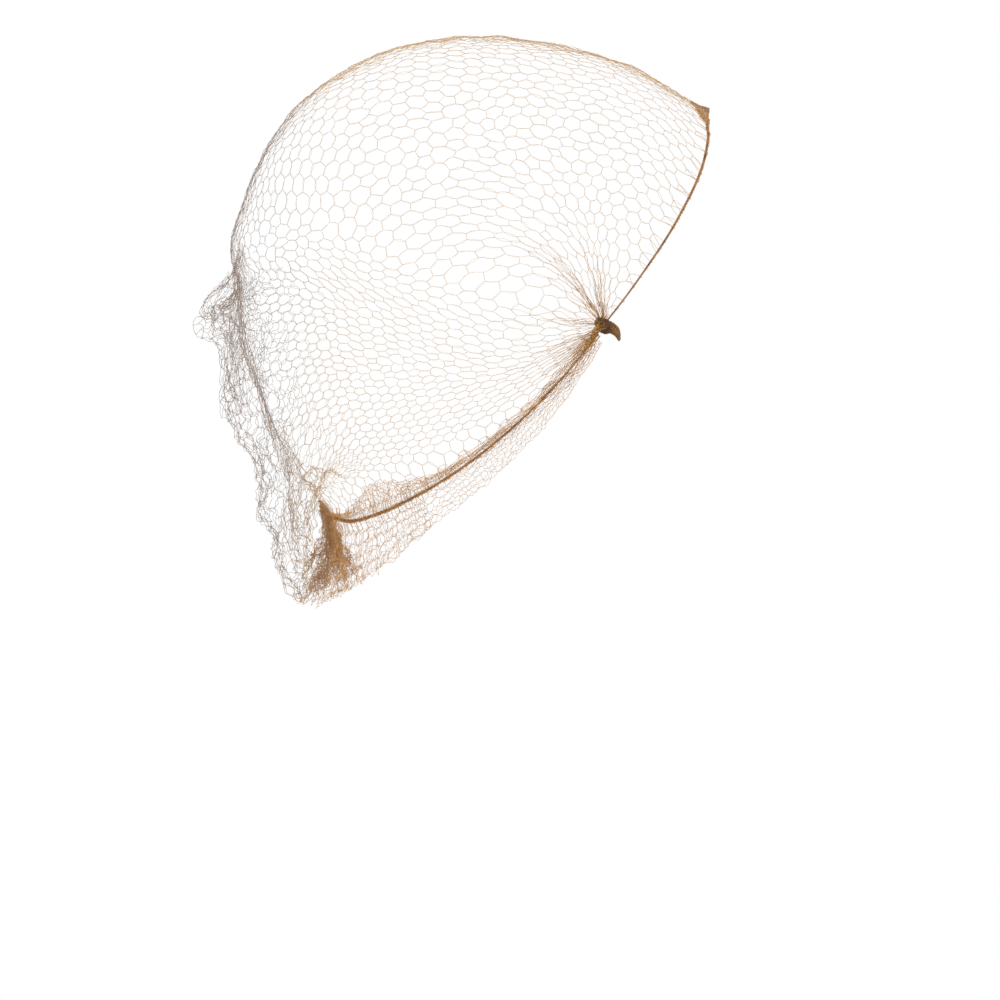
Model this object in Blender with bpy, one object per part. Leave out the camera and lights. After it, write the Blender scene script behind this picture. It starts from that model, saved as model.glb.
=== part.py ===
"""A hairnet in the form that it takes on a head, in metres with +Z up.

+X points to the wearer's face and +Y to the wearer's left. The origin is the middle of the opening that the
head goes into, halfway between the front elastic at the forehead and the nape elastic.

The net is one sheet of netting. Its two ends are gathered and tied at the temples, so every line of the net
runs from the right knot over the head to the left one, as a globe's meridians run from pole to pole. One
elastic holds the front hem, another the nape hem, and past the nape elastic the netting hangs as a frill.
"""

import math

import bmesh
import bpy
import numpy as np
from mathutils import Matrix, Vector

# Lengths below are in millimetres until MM turns them into Blender's metres.
MM = 0.001

# The head that the net is stretched over, as a side outline about the middle of the cranium.
CRANIUM_X = -19.0
CRANIUM_Z = 13.9
HEAD_HALF_WIDTH = 75.0
HEAD_SQUARENESS = 2.3
HEAD_OUTLINE = (  # angle_deg, radius_mm
    (8, 104.6),
    (20, 106.0),
    (34, 106.3),
    (50, 100.4),
    (68, 93.4),
    (90, 90.3),
    (112, 90.2),
    (130, 90.6),
    (150, 89.4),
    (170, 86.6),
    (190, 85.2),
    (205, 86.8),
    (218, 90.6),
    (230, 96.2),
    (240, 101.3),
    (250, 118.0),
    (262, 142.0),
    (285, 155.0),
    (325, 134.0),
    (350, 109.0),
)

# The temple knots: where their common axis crosses the side view, and the ring that the net gathers to.
KNOT_X = 30.2
KNOT_Z = -2.8
GATHER_RING_RADIUS = 3.6

# The two hems, as seen from the knot: the share of the way to the midline, and the direction.
FRONT_HEM = ((0.0, 51.0), (0.26, 53.0), (0.61, 55.5), (0.88, 59.3), (1.0, 62.9))  # share, angle_deg
NAPE_HEM = (  # share, angle_deg
    (0.0, 236.0),
    (0.17, 232.4),
    (0.46, 227.2),
    (0.75, 222.2),
    (0.86, 220.1),
    (0.95, 217.8),
    (1.0, 215.4),
)

# The slack netting behind the head, along the midline from where it leaves the head to where it rejoins it.
# The two knuckles are puffs of slack. The last rows are the layer that comes back up behind the nape.
POUCH_LEAVES_AT = 160.0  # direction from the knot, degrees
POUCH_REJOINS_AT = 208.0
POUCH_MIDLINE = (  # x_mm, z_mm
    (-106.7, 30.5),
    (-108.6, 19.4),
    (-111.9, 10.5),
    (-117.8, 6.1),
    (-120.4, -0.9),
    (-117.1, -8.3),
    (-111.9, -12.8),
    (-112.7, -20.2),
    (-113.0, -30.5),
    (-110.8, -39.8),
    (-104.9, -46.1),
    (-100.5, -54.6),
    (-98.2, -64.6),
    (-94.5, -76.8),
    (-92.3, -87.9),
    (-88.6, -98.2),
    (-84.4, -105.0),
    (-80.2, -105.2),
    (-79.6, -98.0),
    (-81.8, -88.0),
    (-84.0, -77.0),
    (-85.6, -67.5),
    (-86.0, -60.5),
)
POUCH_STARTS = 0.30  # share of the way from knot to midline where the slack begins

# The netting: a sheet of walls this thick, cut through in staggered six-sided gaps.
NET_THICKNESS = 1.2
HEAD_CLEARANCE = 0.4
CELLS_ALONG_MIDLINE = 16
CELL_ROWS = 7  # rows of gaps from knot to knot
ROW_PITCH = 0.203  # of the way from midline to knot
ROW_STRAND = 0.028
ROW_ZIGZAG = 0.026
CELL_COLUMNS = (0.0, 0.2, 0.5, 0.7)  # where a cell's strands start and end, in cell widths
PLAIN_ROWS = (0.0, 0.30, 0.63)  # rows without gaps beside each knot, from the knot to the last gaps
SOLID_PATH_END = 62.0  # the gathered, unpierced stretch before the nape elastic
SOLID_COLUMNS = 7
FRONT_LIP_FLAT = 2.2  # netting past the front elastic, flat and then turned up
FRONT_LIP = 2.6
FRONT_LIP_RISE = 2.2
FRONT_LIP_AT_KNOT = 0.4  # where the lip ends beside a knot
FRONT_LIP_FULL_AT = 0.5  # share of the way from knot to midline
HEM_FLAT = 0.04  # share of the net's width that lies flat beside each elastic
PLEATS = 11
PLEAT_HEIGHT = 0.75
PLEATS_FULL_AT = 0.10  # share of the way from knot to midline
PLEATS_FADE_FROM = 0.12
PLEATS_END_AT = 0.42

# The elastics, and the frill of netting past the nape elastic.
ELASTIC_RADIUS = 0.5
GAP = 0.35
ELASTIC_POINTS = 60
FRILL_SECTIONS = (  # share of the way from knot to midline, start_mm past the hem, width_mm, ruffle / width
    (0.0, 0.5, 3.0, 0.20),
    (0.2, 0.6, 6.5, 0.24),
    (0.46, 0.7, 10.0, 0.28),
    (0.75, 1.1, 15.0, 0.34),
    (0.88, 1.4, 21.0, 0.44),
    (1.0, 1.6, 29.0, 0.50),
)
FRILL_WAVES = 9  # on each side, and wider towards the nape
FRILL_WAVE_AT_NAPE = 0.62  # share of the mean number of waves in each millimetre
FRILL_POINTS_PER_WAVE = 6
FRILL_STEPS = (0.0, 0.35, 0.7, 1.0)  # parts of the width
FRILL_PHASE = 0.8  # radians by which the ruffles are out of step with the midline
FRILL_FLARE = 1.3  # how late across the width a ruffle lifts
FRILL_DROOP = 1.2  # how steeply the frill hangs at the midline, where no neck backs it

# A knot: the gathered end of the net wound round with thread, and the cut end that sticks out past it.
KNOT_RADIUS = GATHER_RING_RADIUS - GAP
KNOT_HEIGHT = 4.4
KNOT_WIDEST = 1.3  # height at which the knot is widest
KNOT_LOBES = 7
KNOT_LOBE_DEPTH = 0.05
TAIL_ANGLE = -37.0  # direction of the cut end in the side view, degrees
TAIL_SECTIONS = (  # along_mm from the knot's middle, sideways_mm, half_width_mm, half_depth_mm, height_mm
    (3.6, 1.5, 1.5, 1.2, 0.0),
    (4.6, 1.7, 1.9, 1.4, 0.2),
    (5.8, 1.4, 1.9, 1.4, 0.3),
    (6.9, 0.8, 1.6, 1.2, 0.3),
    (7.8, 0.1, 1.0, 0.8, 0.2),
    (8.3, -0.4, 0.4, 0.3, 0.1),
)
TAIL_SIDES = 12
TAIL_RIDGE = 0.08  # depth of the grooves along it, as a share of its width


def smooth_table(at, rows, period=None):
    """Values at places along a table of (place, value) rows, on a smooth curve through them."""
    places, values = np.array(rows, float).T
    if period:
        places = np.concatenate([places[-3:] - period, places, places[:3] + period])
        values = np.concatenate([values[-3:], values, values[:3]])
        at = (np.asarray(at) - places[3]) % period + places[3]
    slopes = np.gradient(values, places)
    at = np.clip(at, places[0], places[-1])
    i = np.clip(np.searchsorted(places, at) - 1, 0, len(places) - 2)
    span = places[i + 1] - places[i]
    t = (at - places[i]) / span
    start = (1 + 2 * t) * (1 - t) ** 2 * values[i] + t * (1 - t) ** 2 * span * slopes[i]
    end = t**2 * (3 - 2 * t) * values[i + 1] - t**2 * (1 - t) * span * slopes[i + 1]
    return start + end


def ease(t):
    """0 below 0, 1 above 1, and smooth between."""
    t = np.clip(t, 0.0, 1.0)
    return t * t * (3 - 2 * t)


def outline_share(x, z):
    """How far a point of the side view lies from the cranium's middle (0) towards the head's outline (1)."""
    dx, dz = x - CRANIUM_X, z - CRANIUM_Z
    angle = np.degrees(np.arctan2(dz, dx)) % 360
    return np.hypot(dx, dz) / smooth_table(angle, HEAD_OUTLINE, period=360)


def half_width(x, z):
    """Half the head's width at a point of its side view."""
    inside = np.clip(outline_share(x, z), 0, 1)
    return HEAD_HALF_WIDTH * (1 - inside**HEAD_SQUARENESS) ** (1 / HEAD_SQUARENESS)


def reach(angle_deg):
    """Distance in the side view from the knot to the head's outline, found by halving."""
    cos, sin = np.cos(np.radians(angle_deg)), np.sin(np.radians(angle_deg))
    near, far = np.zeros_like(cos), np.full_like(cos, 2.5 * HEAD_HALF_WIDTH)
    for _ in range(32):
        middle = (near + far) / 2
        inside = outline_share(KNOT_X + middle * cos, KNOT_Z + middle * sin) < 1
        near, far = np.where(inside, middle, near), np.where(inside, far, middle)
    return near


def head_point(share, angle_deg):
    """Points of the head's right side, a share of the way from knot to midline, in given directions."""
    distance = reach(angle_deg) * share
    x = KNOT_X + distance * np.cos(np.radians(angle_deg))
    z = KNOT_Z + distance * np.sin(np.radians(angle_deg))
    return np.stack([x, -half_width(x, z), z], -1)


def net_direction(across, share):
    """Direction from the knot of the net's line, this part of the way from front hem to nape hem."""
    front, nape = smooth_table(share, FRONT_HEM), smooth_table(share, NAPE_HEM)
    return front + (nape - front) * across


def lengths_along(points):
    """Distance along a line of points, starting at 0."""
    steps = np.linalg.norm(np.diff(points, axis=-2), axis=-1)
    return np.concatenate([np.zeros(steps.shape[:-1] + (1,)), np.cumsum(steps, -1)], -1)


def net_line(across, shift, fractions):
    """One line of the net, from the right knot (fraction 0) over the midline (1) to the left knot (2).

    across says which line it is, and shift how far slack moves it from the head at the midline.
    """
    share = np.sin(np.linspace(0, math.pi / 2, 200))
    half = head_point(share, net_direction(across, share))
    along = lengths_along(half)
    ring = GATHER_RING_RADIUS / along[-1]
    place = ring + (1 - ring) * (1 - np.abs(1 - fractions))
    points = np.stack([np.interp(place * along[-1], along, half[:, k]) for k in range(3)], -1)
    slack = ease((place - POUCH_STARTS) / (1 - POUCH_STARTS))
    points[:, 0] += shift[0] * slack
    points[:, 2] += shift[1] * slack
    points[fractions > 1, 1] *= -1
    return points


def midline_path():
    """The net's midline from front to nape elastic: distance along it, place on the head, and slack."""
    front, nape = FRONT_HEM[-1][1], NAPE_HEM[-1][1]
    leaves = (POUCH_LEAVES_AT - front) / (nape - front)
    rejoins = (POUCH_REJOINS_AT - front) / (nape - front)

    def on_head(across):
        return head_point(np.ones_like(across), front + (nape - front) * across)[:, [0, 2]]

    crown, nape_end = np.linspace(0, leaves, 120), np.linspace(rejoins, 1, 20)
    table = np.array([on_head(crown[-1:])[0], *POUCH_MIDLINE, on_head(nape_end[:1])[0]])
    rows = np.arange(len(table))
    fine = np.linspace(0, rows[-1], 240)
    pouch = np.stack([smooth_table(fine, np.stack([rows, table[:, k]], -1)) for k in range(2)], -1)
    along = lengths_along(pouch)
    home = leaves + (rejoins - leaves) * along / along[-1]
    points = np.concatenate([on_head(crown), pouch[1:-1], on_head(nape_end)])
    across = np.concatenate([crown, home[1:-1], nape_end])
    shift = points - on_head(across)
    return lengths_along(points), across, shift


def vertex_normals(grid):
    """Unit normals of a grid of points, facing away from the head."""
    down, along = np.gradient(grid, axis=0), np.gradient(grid, axis=1)
    normals = np.cross(along, down)
    normals /= np.maximum(np.linalg.norm(normals, axis=-1, keepdims=True), 1e-9)
    outward = grid[grid.shape[0] // 2, grid.shape[1] // 6] - np.array([CRANIUM_X, 0, CRANIUM_Z])
    return normals * np.sign(np.dot(normals[grid.shape[0] // 2, grid.shape[1] // 6], outward))


def row_places():
    """The net's rows from knot to knot as (fraction, zigzag sign, gap row or None for a plain row)."""
    half_rows = CELL_ROWS // 2
    half_gap = (ROW_PITCH - ROW_STRAND) / 2
    last_edge = half_rows * ROW_PITCH + half_gap
    plain = [1 - (1 - last_edge) * row for row in PLAIN_ROWS]
    rows = [(-t, 0, None) for t in plain]
    for k in range(-half_rows, half_rows + 1):
        side = 1 if k % 2 == 0 else -1
        rows.append((k * ROW_PITCH - half_gap, side, k))
        rows.append((k * ROW_PITCH, 0, k))
        rows.append((k * ROW_PITCH + half_gap, -side, None))
    rows += [(t, 0, None) for t in reversed(plain)]
    return rows


def net_grid():
    """The net as a grid of points, and which of its squares are cut away."""
    path, across_path, shift_path = midline_path()
    open_length = path[-1] - SOLID_PATH_END
    cell = open_length / CELLS_ALONG_MIDLINE
    places = [(n + part) * cell for n in range(CELLS_ALONG_MIDLINE) for part in CELL_COLUMNS]
    closing = np.linspace(open_length, path[-1], SOLID_COLUMNS)
    places = np.concatenate([places, closing])
    rows = row_places()
    grid = []
    for j, place in enumerate(places):
        across = np.interp(place, path, across_path)
        shift = [np.interp(place, path, shift_path[:, k]) for k in range(2)]
        lean = 1 if j % 4 < 2 else -1
        swing = 0 if j == 0 or place >= open_length else ROW_ZIGZAG
        fractions = np.array([1 + t + lean * sign * swing for t, sign, _ in rows])
        grid.append(net_line(across, shift, fractions))
    grid = np.array(grid)
    cut = np.zeros((len(places) - 1, len(rows) - 1), bool)
    for i, (_, _, k) in enumerate(rows):
        if k is None:
            continue
        for j in range(4 * CELLS_ALONG_MIDLINE):
            first = j % 4 == 0 if k % 2 == 0 else j % 4 == 2
            started = j >= (0 if k % 2 == 0 else 2)
            finished = j < 4 * CELLS_ALONG_MIDLINE - (0 if k % 2 == 0 else 2)
            cut[j, i] = started and finished and not first
    return grid, cut


def pleated(grid):
    """The grid lifted clear of the head, with its gathers near the knots."""
    normals = vertex_normals(grid)
    turn = np.arange(len(grid)) / (len(grid) - 1)
    wave = 1 + np.sin(2 * math.pi * PLEATS * turn)
    from_hem = ease(np.minimum(turn, 1 - turn) / HEM_FLAT - 1)
    from_knot = np.array([1 - abs(t) for t, _, _ in row_places()])
    fade = ease(from_knot / PLEATS_FULL_AT)
    fade = fade * ease((PLEATS_END_AT - from_knot) / (PLEATS_END_AT - PLEATS_FADE_FROM))
    lift = HEAD_CLEARANCE + PLEAT_HEIGHT * (wave * from_hem)[:, None] * fade[None, :]
    return grid + normals * lift[..., None]


def front_lip(grid):
    """Two lines of points past the front elastic: flat beside it, then turned up off the forehead."""
    towards = grid[0] - grid[1]
    towards /= np.linalg.norm(towards, axis=-1, keepdims=True)
    fade = ease((1 - np.abs([t for t, _, _ in row_places()])) / FRONT_LIP_FULL_AT)[:, None]
    normals = vertex_normals(grid)[0]
    flat = grid[0] + towards * (FRONT_LIP_AT_KNOT + (FRONT_LIP_FLAT - FRONT_LIP_AT_KNOT) * fade)
    edge = flat + fade * (towards * FRONT_LIP + normals * FRONT_LIP_RISE)
    edge = edge + (1 - fade) * towards * FRONT_LIP_AT_KNOT
    return np.stack([edge, flat])


def add_object(name, mesh, material):
    made = bpy.data.objects.new(name, mesh)
    bpy.context.scene.collection.objects.link(made)
    mesh.materials.append(material)
    mesh.shade_smooth()
    mesh.set_sharp_from_angle(angle=math.radians(45))
    return made


def sheet_object(name, grid, cut, thickness, material):
    """A sheet over a grid of points, thickened outwards, without the squares that are cut away."""
    used = np.zeros(grid.shape[:2], bool)
    squares = []
    for j in range(grid.shape[0] - 1):
        for i in range(grid.shape[1] - 1):
            if not cut[j, i]:
                corners = [(j, i), (j, i + 1), (j + 1, i + 1), (j + 1, i)]
                squares.append(corners)
                for corner in corners:
                    used[corner] = True
    index = np.cumsum(used.ravel()).reshape(used.shape) - 1
    mesh = bpy.data.meshes.new(name)
    mesh.from_pydata((grid[used] * MM).tolist(), [], [[int(index[c]) for c in s] for s in squares])
    body = bmesh.new()
    body.from_mesh(mesh)
    body.faces.ensure_lookup_table()
    middle = body.faces[len(body.faces) // 2]
    if middle.normal.dot(middle.calc_center_median() - Vector((CRANIUM_X, 0, CRANIUM_Z)) * MM) < 0:
        bmesh.ops.reverse_faces(body, faces=body.faces[:])
    body.to_mesh(mesh)
    body.free()
    made = add_object(name, mesh, material)
    solidify = made.modifiers.new("thickness", "SOLIDIFY")
    solidify.thickness = thickness * MM
    solidify.offset = 1.0
    return made


def rim_line(hem, places, clearance):
    """Points along a hem from right knot (0) to left (1), held off the head, with normals and shares."""
    share = np.sin(np.linspace(0, math.pi / 2, 300))
    half = head_point(share, smooth_table(share, hem))
    whole = np.concatenate([half, half[-2::-1] * [1, -1, 1]])
    shares = np.concatenate([share, share[-2::-1]])
    along = lengths_along(whole)
    start = GATHER_RING_RADIUS
    at = start + (along[-1] - 2 * start) * places
    line = np.stack([np.interp(at, along, whole[:, k]) for k in range(3)], -1)
    share_at = np.interp(at, along, shares)
    normals = head_normals(line)
    return line + normals * clearance, normals, share_at


def head_normals(points):
    """Outward unit normals of the head at points of its surface, from the slope of its height function."""
    step = 0.05

    def height(p):
        ratio = outline_share(p[:, 0], p[:, 2]) ** HEAD_SQUARENESS
        return ratio + (np.abs(p[:, 1]) / HEAD_HALF_WIDTH) ** HEAD_SQUARENESS

    slope = np.stack(
        [height(points + step * axis) - height(points - step * axis) for axis in np.eye(3)], -1
    )
    return slope / np.linalg.norm(slope, axis=-1, keepdims=True)


def elastic_object(name, hem, material):
    clearance = HEAD_CLEARANCE + NET_THICKNESS + GAP + ELASTIC_RADIUS
    line, _, _ = rim_line(hem, np.linspace(0, 1, ELASTIC_POINTS), clearance)
    curve = bpy.data.curves.new(name, "CURVE")
    curve.dimensions = "3D"
    curve.bevel_depth = ELASTIC_RADIUS * MM
    curve.bevel_resolution = 2
    curve.use_fill_caps = True
    spline = curve.splines.new("POLY")
    spline.points.add(len(line) - 1)
    for point, place in zip(spline.points, line):
        point.co = (*(place * MM), 1.0)
    made = bpy.data.objects.new(name, curve)
    bpy.context.scene.collection.objects.link(made)
    curve.materials.append(material)
    return made


def frill_object(name, material):
    """The ruffled netting past the nape elastic, lying on the neck and hanging free at its middle."""
    count = 2 * FRILL_WAVES * FRILL_POINTS_PER_WAVE + 1
    even = np.linspace(-1, 1, count)
    u = np.linspace(-1, 1, 400)
    places = np.interp(even, u * (FRILL_WAVE_AT_NAPE + (1 - FRILL_WAVE_AT_NAPE) * u**2), u)
    line, normals, share = rim_line(NAPE_HEM, (places + 1) / 2, HEAD_CLEARANCE)
    along = np.gradient(line, axis=0)
    along /= np.linalg.norm(along, axis=-1, keepdims=True)
    down = np.cross(along, normals)
    down *= np.sign(-down[:, 2:])
    hang = down + np.array([0, 0, -FRILL_DROOP]) * (share**2)[:, None]
    hang /= np.linalg.norm(hang, axis=-1, keepdims=True)
    table = np.array(FRILL_SECTIONS)
    start, width, ruffle = (smooth_table(share, table[:, [0, k]]) for k in (1, 2, 3))
    wave = 0.5 + 0.5 * np.sin(2 * math.pi * FRILL_WAVES * even + FRILL_PHASE)
    grid = []
    for step in FRILL_STEPS:
        reach_out = start + (width - start) * step
        lift = width * ruffle * wave * step**FRILL_FLARE
        grid.append(line + hang * reach_out[:, None] + normals * lift[:, None])
    return sheet_object(name, np.array(grid), np.zeros((3, count - 1), bool), NET_THICKNESS, material)


def knot_frame(side):
    """The frame of a temple knot: X and Y along the head's side, Z straight out from it."""
    share = np.array([0.0])
    place = head_point(share, np.array([FRONT_HEM[0][1]]))[0]
    normal = head_normals(place[None])[0]
    place[1] *= -side
    normal[1] *= -side
    out = Vector(normal)
    forward = Vector((1, 0, 0))
    forward = (forward - out * forward.dot(out)).normalized()
    up = out.cross(forward)
    frame = Matrix((forward, up, out)).transposed().to_4x4()
    frame.translation = Vector(place) * MM
    return frame


def knot_object(name, side, material):
    """A squat lobed lump: the gathered net, bound round."""
    mesh = bpy.data.meshes.new(name)
    body = bmesh.new()
    bmesh.ops.create_uvsphere(body, u_segments=KNOT_LOBES * 3, v_segments=8, radius=1.0)
    for vertex in body.verts:
        turn = math.atan2(vertex.co.y, vertex.co.x)
        flat = math.hypot(vertex.co.x, vertex.co.y)
        lobe = 1 - KNOT_LOBE_DEPTH * (1 - math.cos(KNOT_LOBES * turn))
        wide = KNOT_RADIUS * flat**0.8 * lobe
        vertex.co.x, vertex.co.y = wide * math.cos(turn), wide * math.sin(turn)
        above = KNOT_HEIGHT - KNOT_WIDEST if vertex.co.z > 0 else KNOT_WIDEST
        vertex.co.z = HEAD_CLEARANCE + KNOT_WIDEST + above * vertex.co.z
        vertex.co *= MM
    body.to_mesh(mesh)
    body.free()
    made = add_object(name, mesh, material)
    made.matrix_world = knot_frame(side)
    return made


def tail_object(name, side, material):
    """The cut end of the gathered net, past its knot: a bent bundle with a blunt tip."""
    mesh = bpy.data.meshes.new(name)
    body = bmesh.new()
    rings = []
    for along, sideways, wide, deep, height in TAIL_SECTIONS:
        ring = []
        for k in range(TAIL_SIDES):
            turn = 2 * math.pi * k / TAIL_SIDES
            ridge = 1 - TAIL_RIDGE * (k % 2)
            across = -side * sideways + wide * ridge * math.cos(turn)
            place = Vector((along, across, HEAD_CLEARANCE + height + deep * (1 + math.sin(turn))))
            ring.append(body.verts.new(place * MM))
        rings.append(ring)
    for near, far in zip(rings, rings[1:]):
        for k in range(TAIL_SIDES):
            body.faces.new((near[k], near[(k + 1) % TAIL_SIDES], far[(k + 1) % TAIL_SIDES], far[k]))
    body.faces.new(list(reversed(rings[0])))
    body.faces.new(rings[-1])
    bmesh.ops.recalc_face_normals(body, faces=body.faces[:])
    body.to_mesh(mesh)
    body.free()
    made = add_object(name, mesh, material)
    towards = TAIL_ANGLE if side < 0 else -TAIL_ANGLE
    made.matrix_world = knot_frame(side) @ Matrix.Rotation(math.radians(towards), 4, "Z")
    return made


def finish(name, colour, roughness):
    material = bpy.data.materials.new(name)
    material.use_nodes = True
    shader = material.node_tree.nodes["Principled BSDF"]
    shader.inputs["Base Color"].default_value = (*colour, 1.0)
    shader.inputs["Roughness"].default_value = roughness
    shader.inputs["Metallic"].default_value = 0.0
    return material


def main():
    for old in list(bpy.data.objects):
        bpy.data.objects.remove(old)
    netting = finish("light_brown_netting", (0.55, 0.38, 0.22), 0.55)
    cord = finish("brown_elastic", (0.36, 0.20, 0.09), 0.6)
    thread = finish("dark_brown_thread", (0.20, 0.11, 0.05), 0.7)
    grid, cut = net_grid()
    grid = pleated(grid)
    grid = np.concatenate([front_lip(grid), grid])
    cut = np.concatenate([np.zeros((2, cut.shape[1]), bool), cut])
    sheet_object("net", grid, cut, NET_THICKNESS, netting)
    frill_object("nape_frill", netting)
    elastic_object("front_elastic", FRONT_HEM, cord)
    elastic_object("nape_elastic", NAPE_HEM, cord)
    for word, side in (("right", -1), ("left", 1)):
        knot_object(word + "_knot", side, thread)
        tail_object(word + "_tail", side, thread)


main()
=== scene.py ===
# %% [markdown]
# # A hairnet, thread by thread
# This lesson dresses a hairnet that was first modelled as plain solids. The real thing is one light
# sheet of netting. Its two ends are gathered and tied at the temples, and an elastic cord holds each
# long edge. The plain solids give its size and its place. Here every thread of it becomes a real tube,
# because netting is seen through: its looks come from where its threads lie, cross and bunch, and not
# from a pattern on a surface.

# %% The model that this scene dresses
import math

import bpy
import numpy as np
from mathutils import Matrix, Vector


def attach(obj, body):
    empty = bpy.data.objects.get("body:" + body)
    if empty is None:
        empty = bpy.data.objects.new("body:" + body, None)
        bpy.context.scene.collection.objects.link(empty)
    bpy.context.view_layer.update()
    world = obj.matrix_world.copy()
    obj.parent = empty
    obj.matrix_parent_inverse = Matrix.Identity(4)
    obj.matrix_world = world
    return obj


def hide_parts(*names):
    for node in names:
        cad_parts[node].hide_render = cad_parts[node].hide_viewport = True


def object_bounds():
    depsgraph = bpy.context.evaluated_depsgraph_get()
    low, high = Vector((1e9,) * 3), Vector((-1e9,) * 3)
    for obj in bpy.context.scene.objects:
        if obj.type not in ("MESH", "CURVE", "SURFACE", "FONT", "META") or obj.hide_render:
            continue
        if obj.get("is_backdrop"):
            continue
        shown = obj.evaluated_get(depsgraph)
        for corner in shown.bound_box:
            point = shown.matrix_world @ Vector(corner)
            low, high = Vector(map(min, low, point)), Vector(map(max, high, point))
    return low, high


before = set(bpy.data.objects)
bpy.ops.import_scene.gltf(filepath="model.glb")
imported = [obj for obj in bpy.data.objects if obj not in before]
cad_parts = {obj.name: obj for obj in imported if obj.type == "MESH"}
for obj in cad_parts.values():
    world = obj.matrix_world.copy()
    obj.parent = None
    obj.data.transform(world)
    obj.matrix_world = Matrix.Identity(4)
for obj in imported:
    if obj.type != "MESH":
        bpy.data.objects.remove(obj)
cad_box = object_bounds()
MM = 0.001
print("solids:", ", ".join(sorted(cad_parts)))

# %% [markdown]
# ## The camera and the light
# A net is best seen without perspective, as from very far away, so that its near and far sides line up.
# The camera looks at it level, from the wearer's right. The world is an even white, as in a light tent,
# and a large soft lamp gives the cords a bright and a dark side, with a weaker one behind for their
# edges. The pale floor fades out towards its edge, so no horizon shows.

# %% Camera, lamps and floor
VIEW_WIDTH = 372 * MM  # what the picture's width covers
VIEW_MIDDLE = Vector((-7.6, 0.0, -67.5)) * MM
CAMERA_DISTANCE = 2.0
FLOOR_HEIGHT = -235 * MM
FLOOR_RADIUS = 1.6
FLOOR_CORNERS = 96

camera = bpy.data.objects.new("camera", bpy.data.cameras.new("camera"))
bpy.context.scene.collection.objects.link(camera)
camera.data.type = "ORTHO"
camera.data.ortho_scale = VIEW_WIDTH
camera.location = VIEW_MIDDLE + Vector((0, -CAMERA_DISTANCE, 0))
camera.rotation_euler = (math.pi / 2, 0, 0)
bpy.context.scene.camera = camera

LAMPS = (  # name, place in metres, size in metres, power in watts
    ("key_lamp", (1.2, -2.2, 2.2), 1.6, 36.0),
    ("rim_lamp", (-2.0, 1.6, 1.6), 1.2, 12.0),
)
for name, place, size, power in LAMPS:
    lamp = bpy.data.objects.new(name, bpy.data.lights.new(name, "AREA"))
    lamp.data.size = size
    lamp.data.energy = power
    lamp.location = place
    lamp.rotation_euler = (-Vector(place)).to_track_quat("-Z", "Y").to_euler()
    bpy.context.scene.collection.objects.link(lamp)

world = bpy.data.worlds.new("light_tent")
bpy.context.scene.world = world
world.use_nodes = True
background = world.node_tree.nodes["Background"]
background.inputs["Color"].default_value = (1.0, 1.0, 1.0, 1.0)
background.inputs["Strength"].default_value = 1.0
bpy.context.scene.view_settings.view_transform = "Standard"

floor_mesh = bpy.data.meshes.new("floor")
turns = [math.tau * k / FLOOR_CORNERS for k in range(FLOOR_CORNERS)]
rim = [(FLOOR_RADIUS * math.cos(turn), FLOOR_RADIUS * math.sin(turn), 0) for turn in turns]
floor_mesh.from_pydata(rim, [], [list(range(FLOOR_CORNERS))])
floor = bpy.data.objects.new("floor", floor_mesh)
floor.location.z = FLOOR_HEIGHT
bpy.context.scene.collection.objects.link(floor)
floor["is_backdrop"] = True
print(f"picture {VIEW_WIDTH / MM:.0f} mm wide, {len(LAMPS)} lamps, floor {-FLOOR_HEIGHT / MM:.0f} mm down")

# %% [markdown]
# ## Materials as arithmetic
# Blender's shader editor is a picture of a calculation. Written as Python, each formula stays on one
# line. The class below wraps one output socket. Each sum with it makes the Math node that does that
# sum, also where a plain number stands first, and `add` makes any other node: its type, its settings,
# and what goes into its sockets.


# %% A socket that takes part in sums
class Sum:
    def __init__(self, tree, socket=None):
        self.tree = tree
        self.socket = socket

    def add(self, kind, settings, inputs, output=0):
        node = self.tree.nodes.new("ShaderNode" + kind)
        for key, value in settings.items():
            if key == "stops":
                for stop, (place, colour) in zip(node.color_ramp.elements, value):
                    stop.position = place
                    stop.color = (*colour, 1.0)
            else:
                setattr(node, key, value)
        for key, value in inputs.items():
            if isinstance(value, Sum):
                self.tree.links.new(value.socket, node.inputs[key])
            else:
                node.inputs[key].default_value = value
        return Sum(self.tree, node.outputs[output])

    def maths(self, operation, *values):
        return self.add("Math", {"operation": operation}, dict(enumerate(values)))

    def __add__(self, other):
        return self.maths("ADD", self, other)

    def __radd__(self, other):
        return self.maths("ADD", other, self)

    def __sub__(self, other):
        return self.maths("SUBTRACT", self, other)

    def __rsub__(self, other):
        return self.maths("SUBTRACT", other, self)

    def __mul__(self, other):
        return self.maths("MULTIPLY", self, other)

    def __rmul__(self, other):
        return self.maths("MULTIPLY", other, self)

    def wave(self):
        """A sine that runs from 0 to 1."""
        return 0.5 + 0.5 * self.maths("SINE", self)

    def length(self):
        return self.add("VectorMath", {"operation": "LENGTH"}, {0: self}, "Value")

    def step(self, low, high):
        """0 where this is below low, 1 above high, and smooth between."""
        settings = {"interpolation_type": "SMOOTHSTEP"}
        return self.add("MapRange", settings, {"Value": self, "From Min": low, "From Max": high}, "Result")

    def mix(self, first, second):
        """The first colour where this is 0, and the second where it is 1."""
        settings = {"data_type": "RGBA"}
        return self.add("Mix", settings, {0: self, 6: first, 7: second}, 2)


print("operators: +, -, *")

# %% [markdown]
# ## The floor
# The floor is white card. It is opaque under the net, where a soft shadow may fall, and fades away
# towards its rim: a Mix Shader goes from the card's surface to Transparent by the distance from the
# middle.

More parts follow.
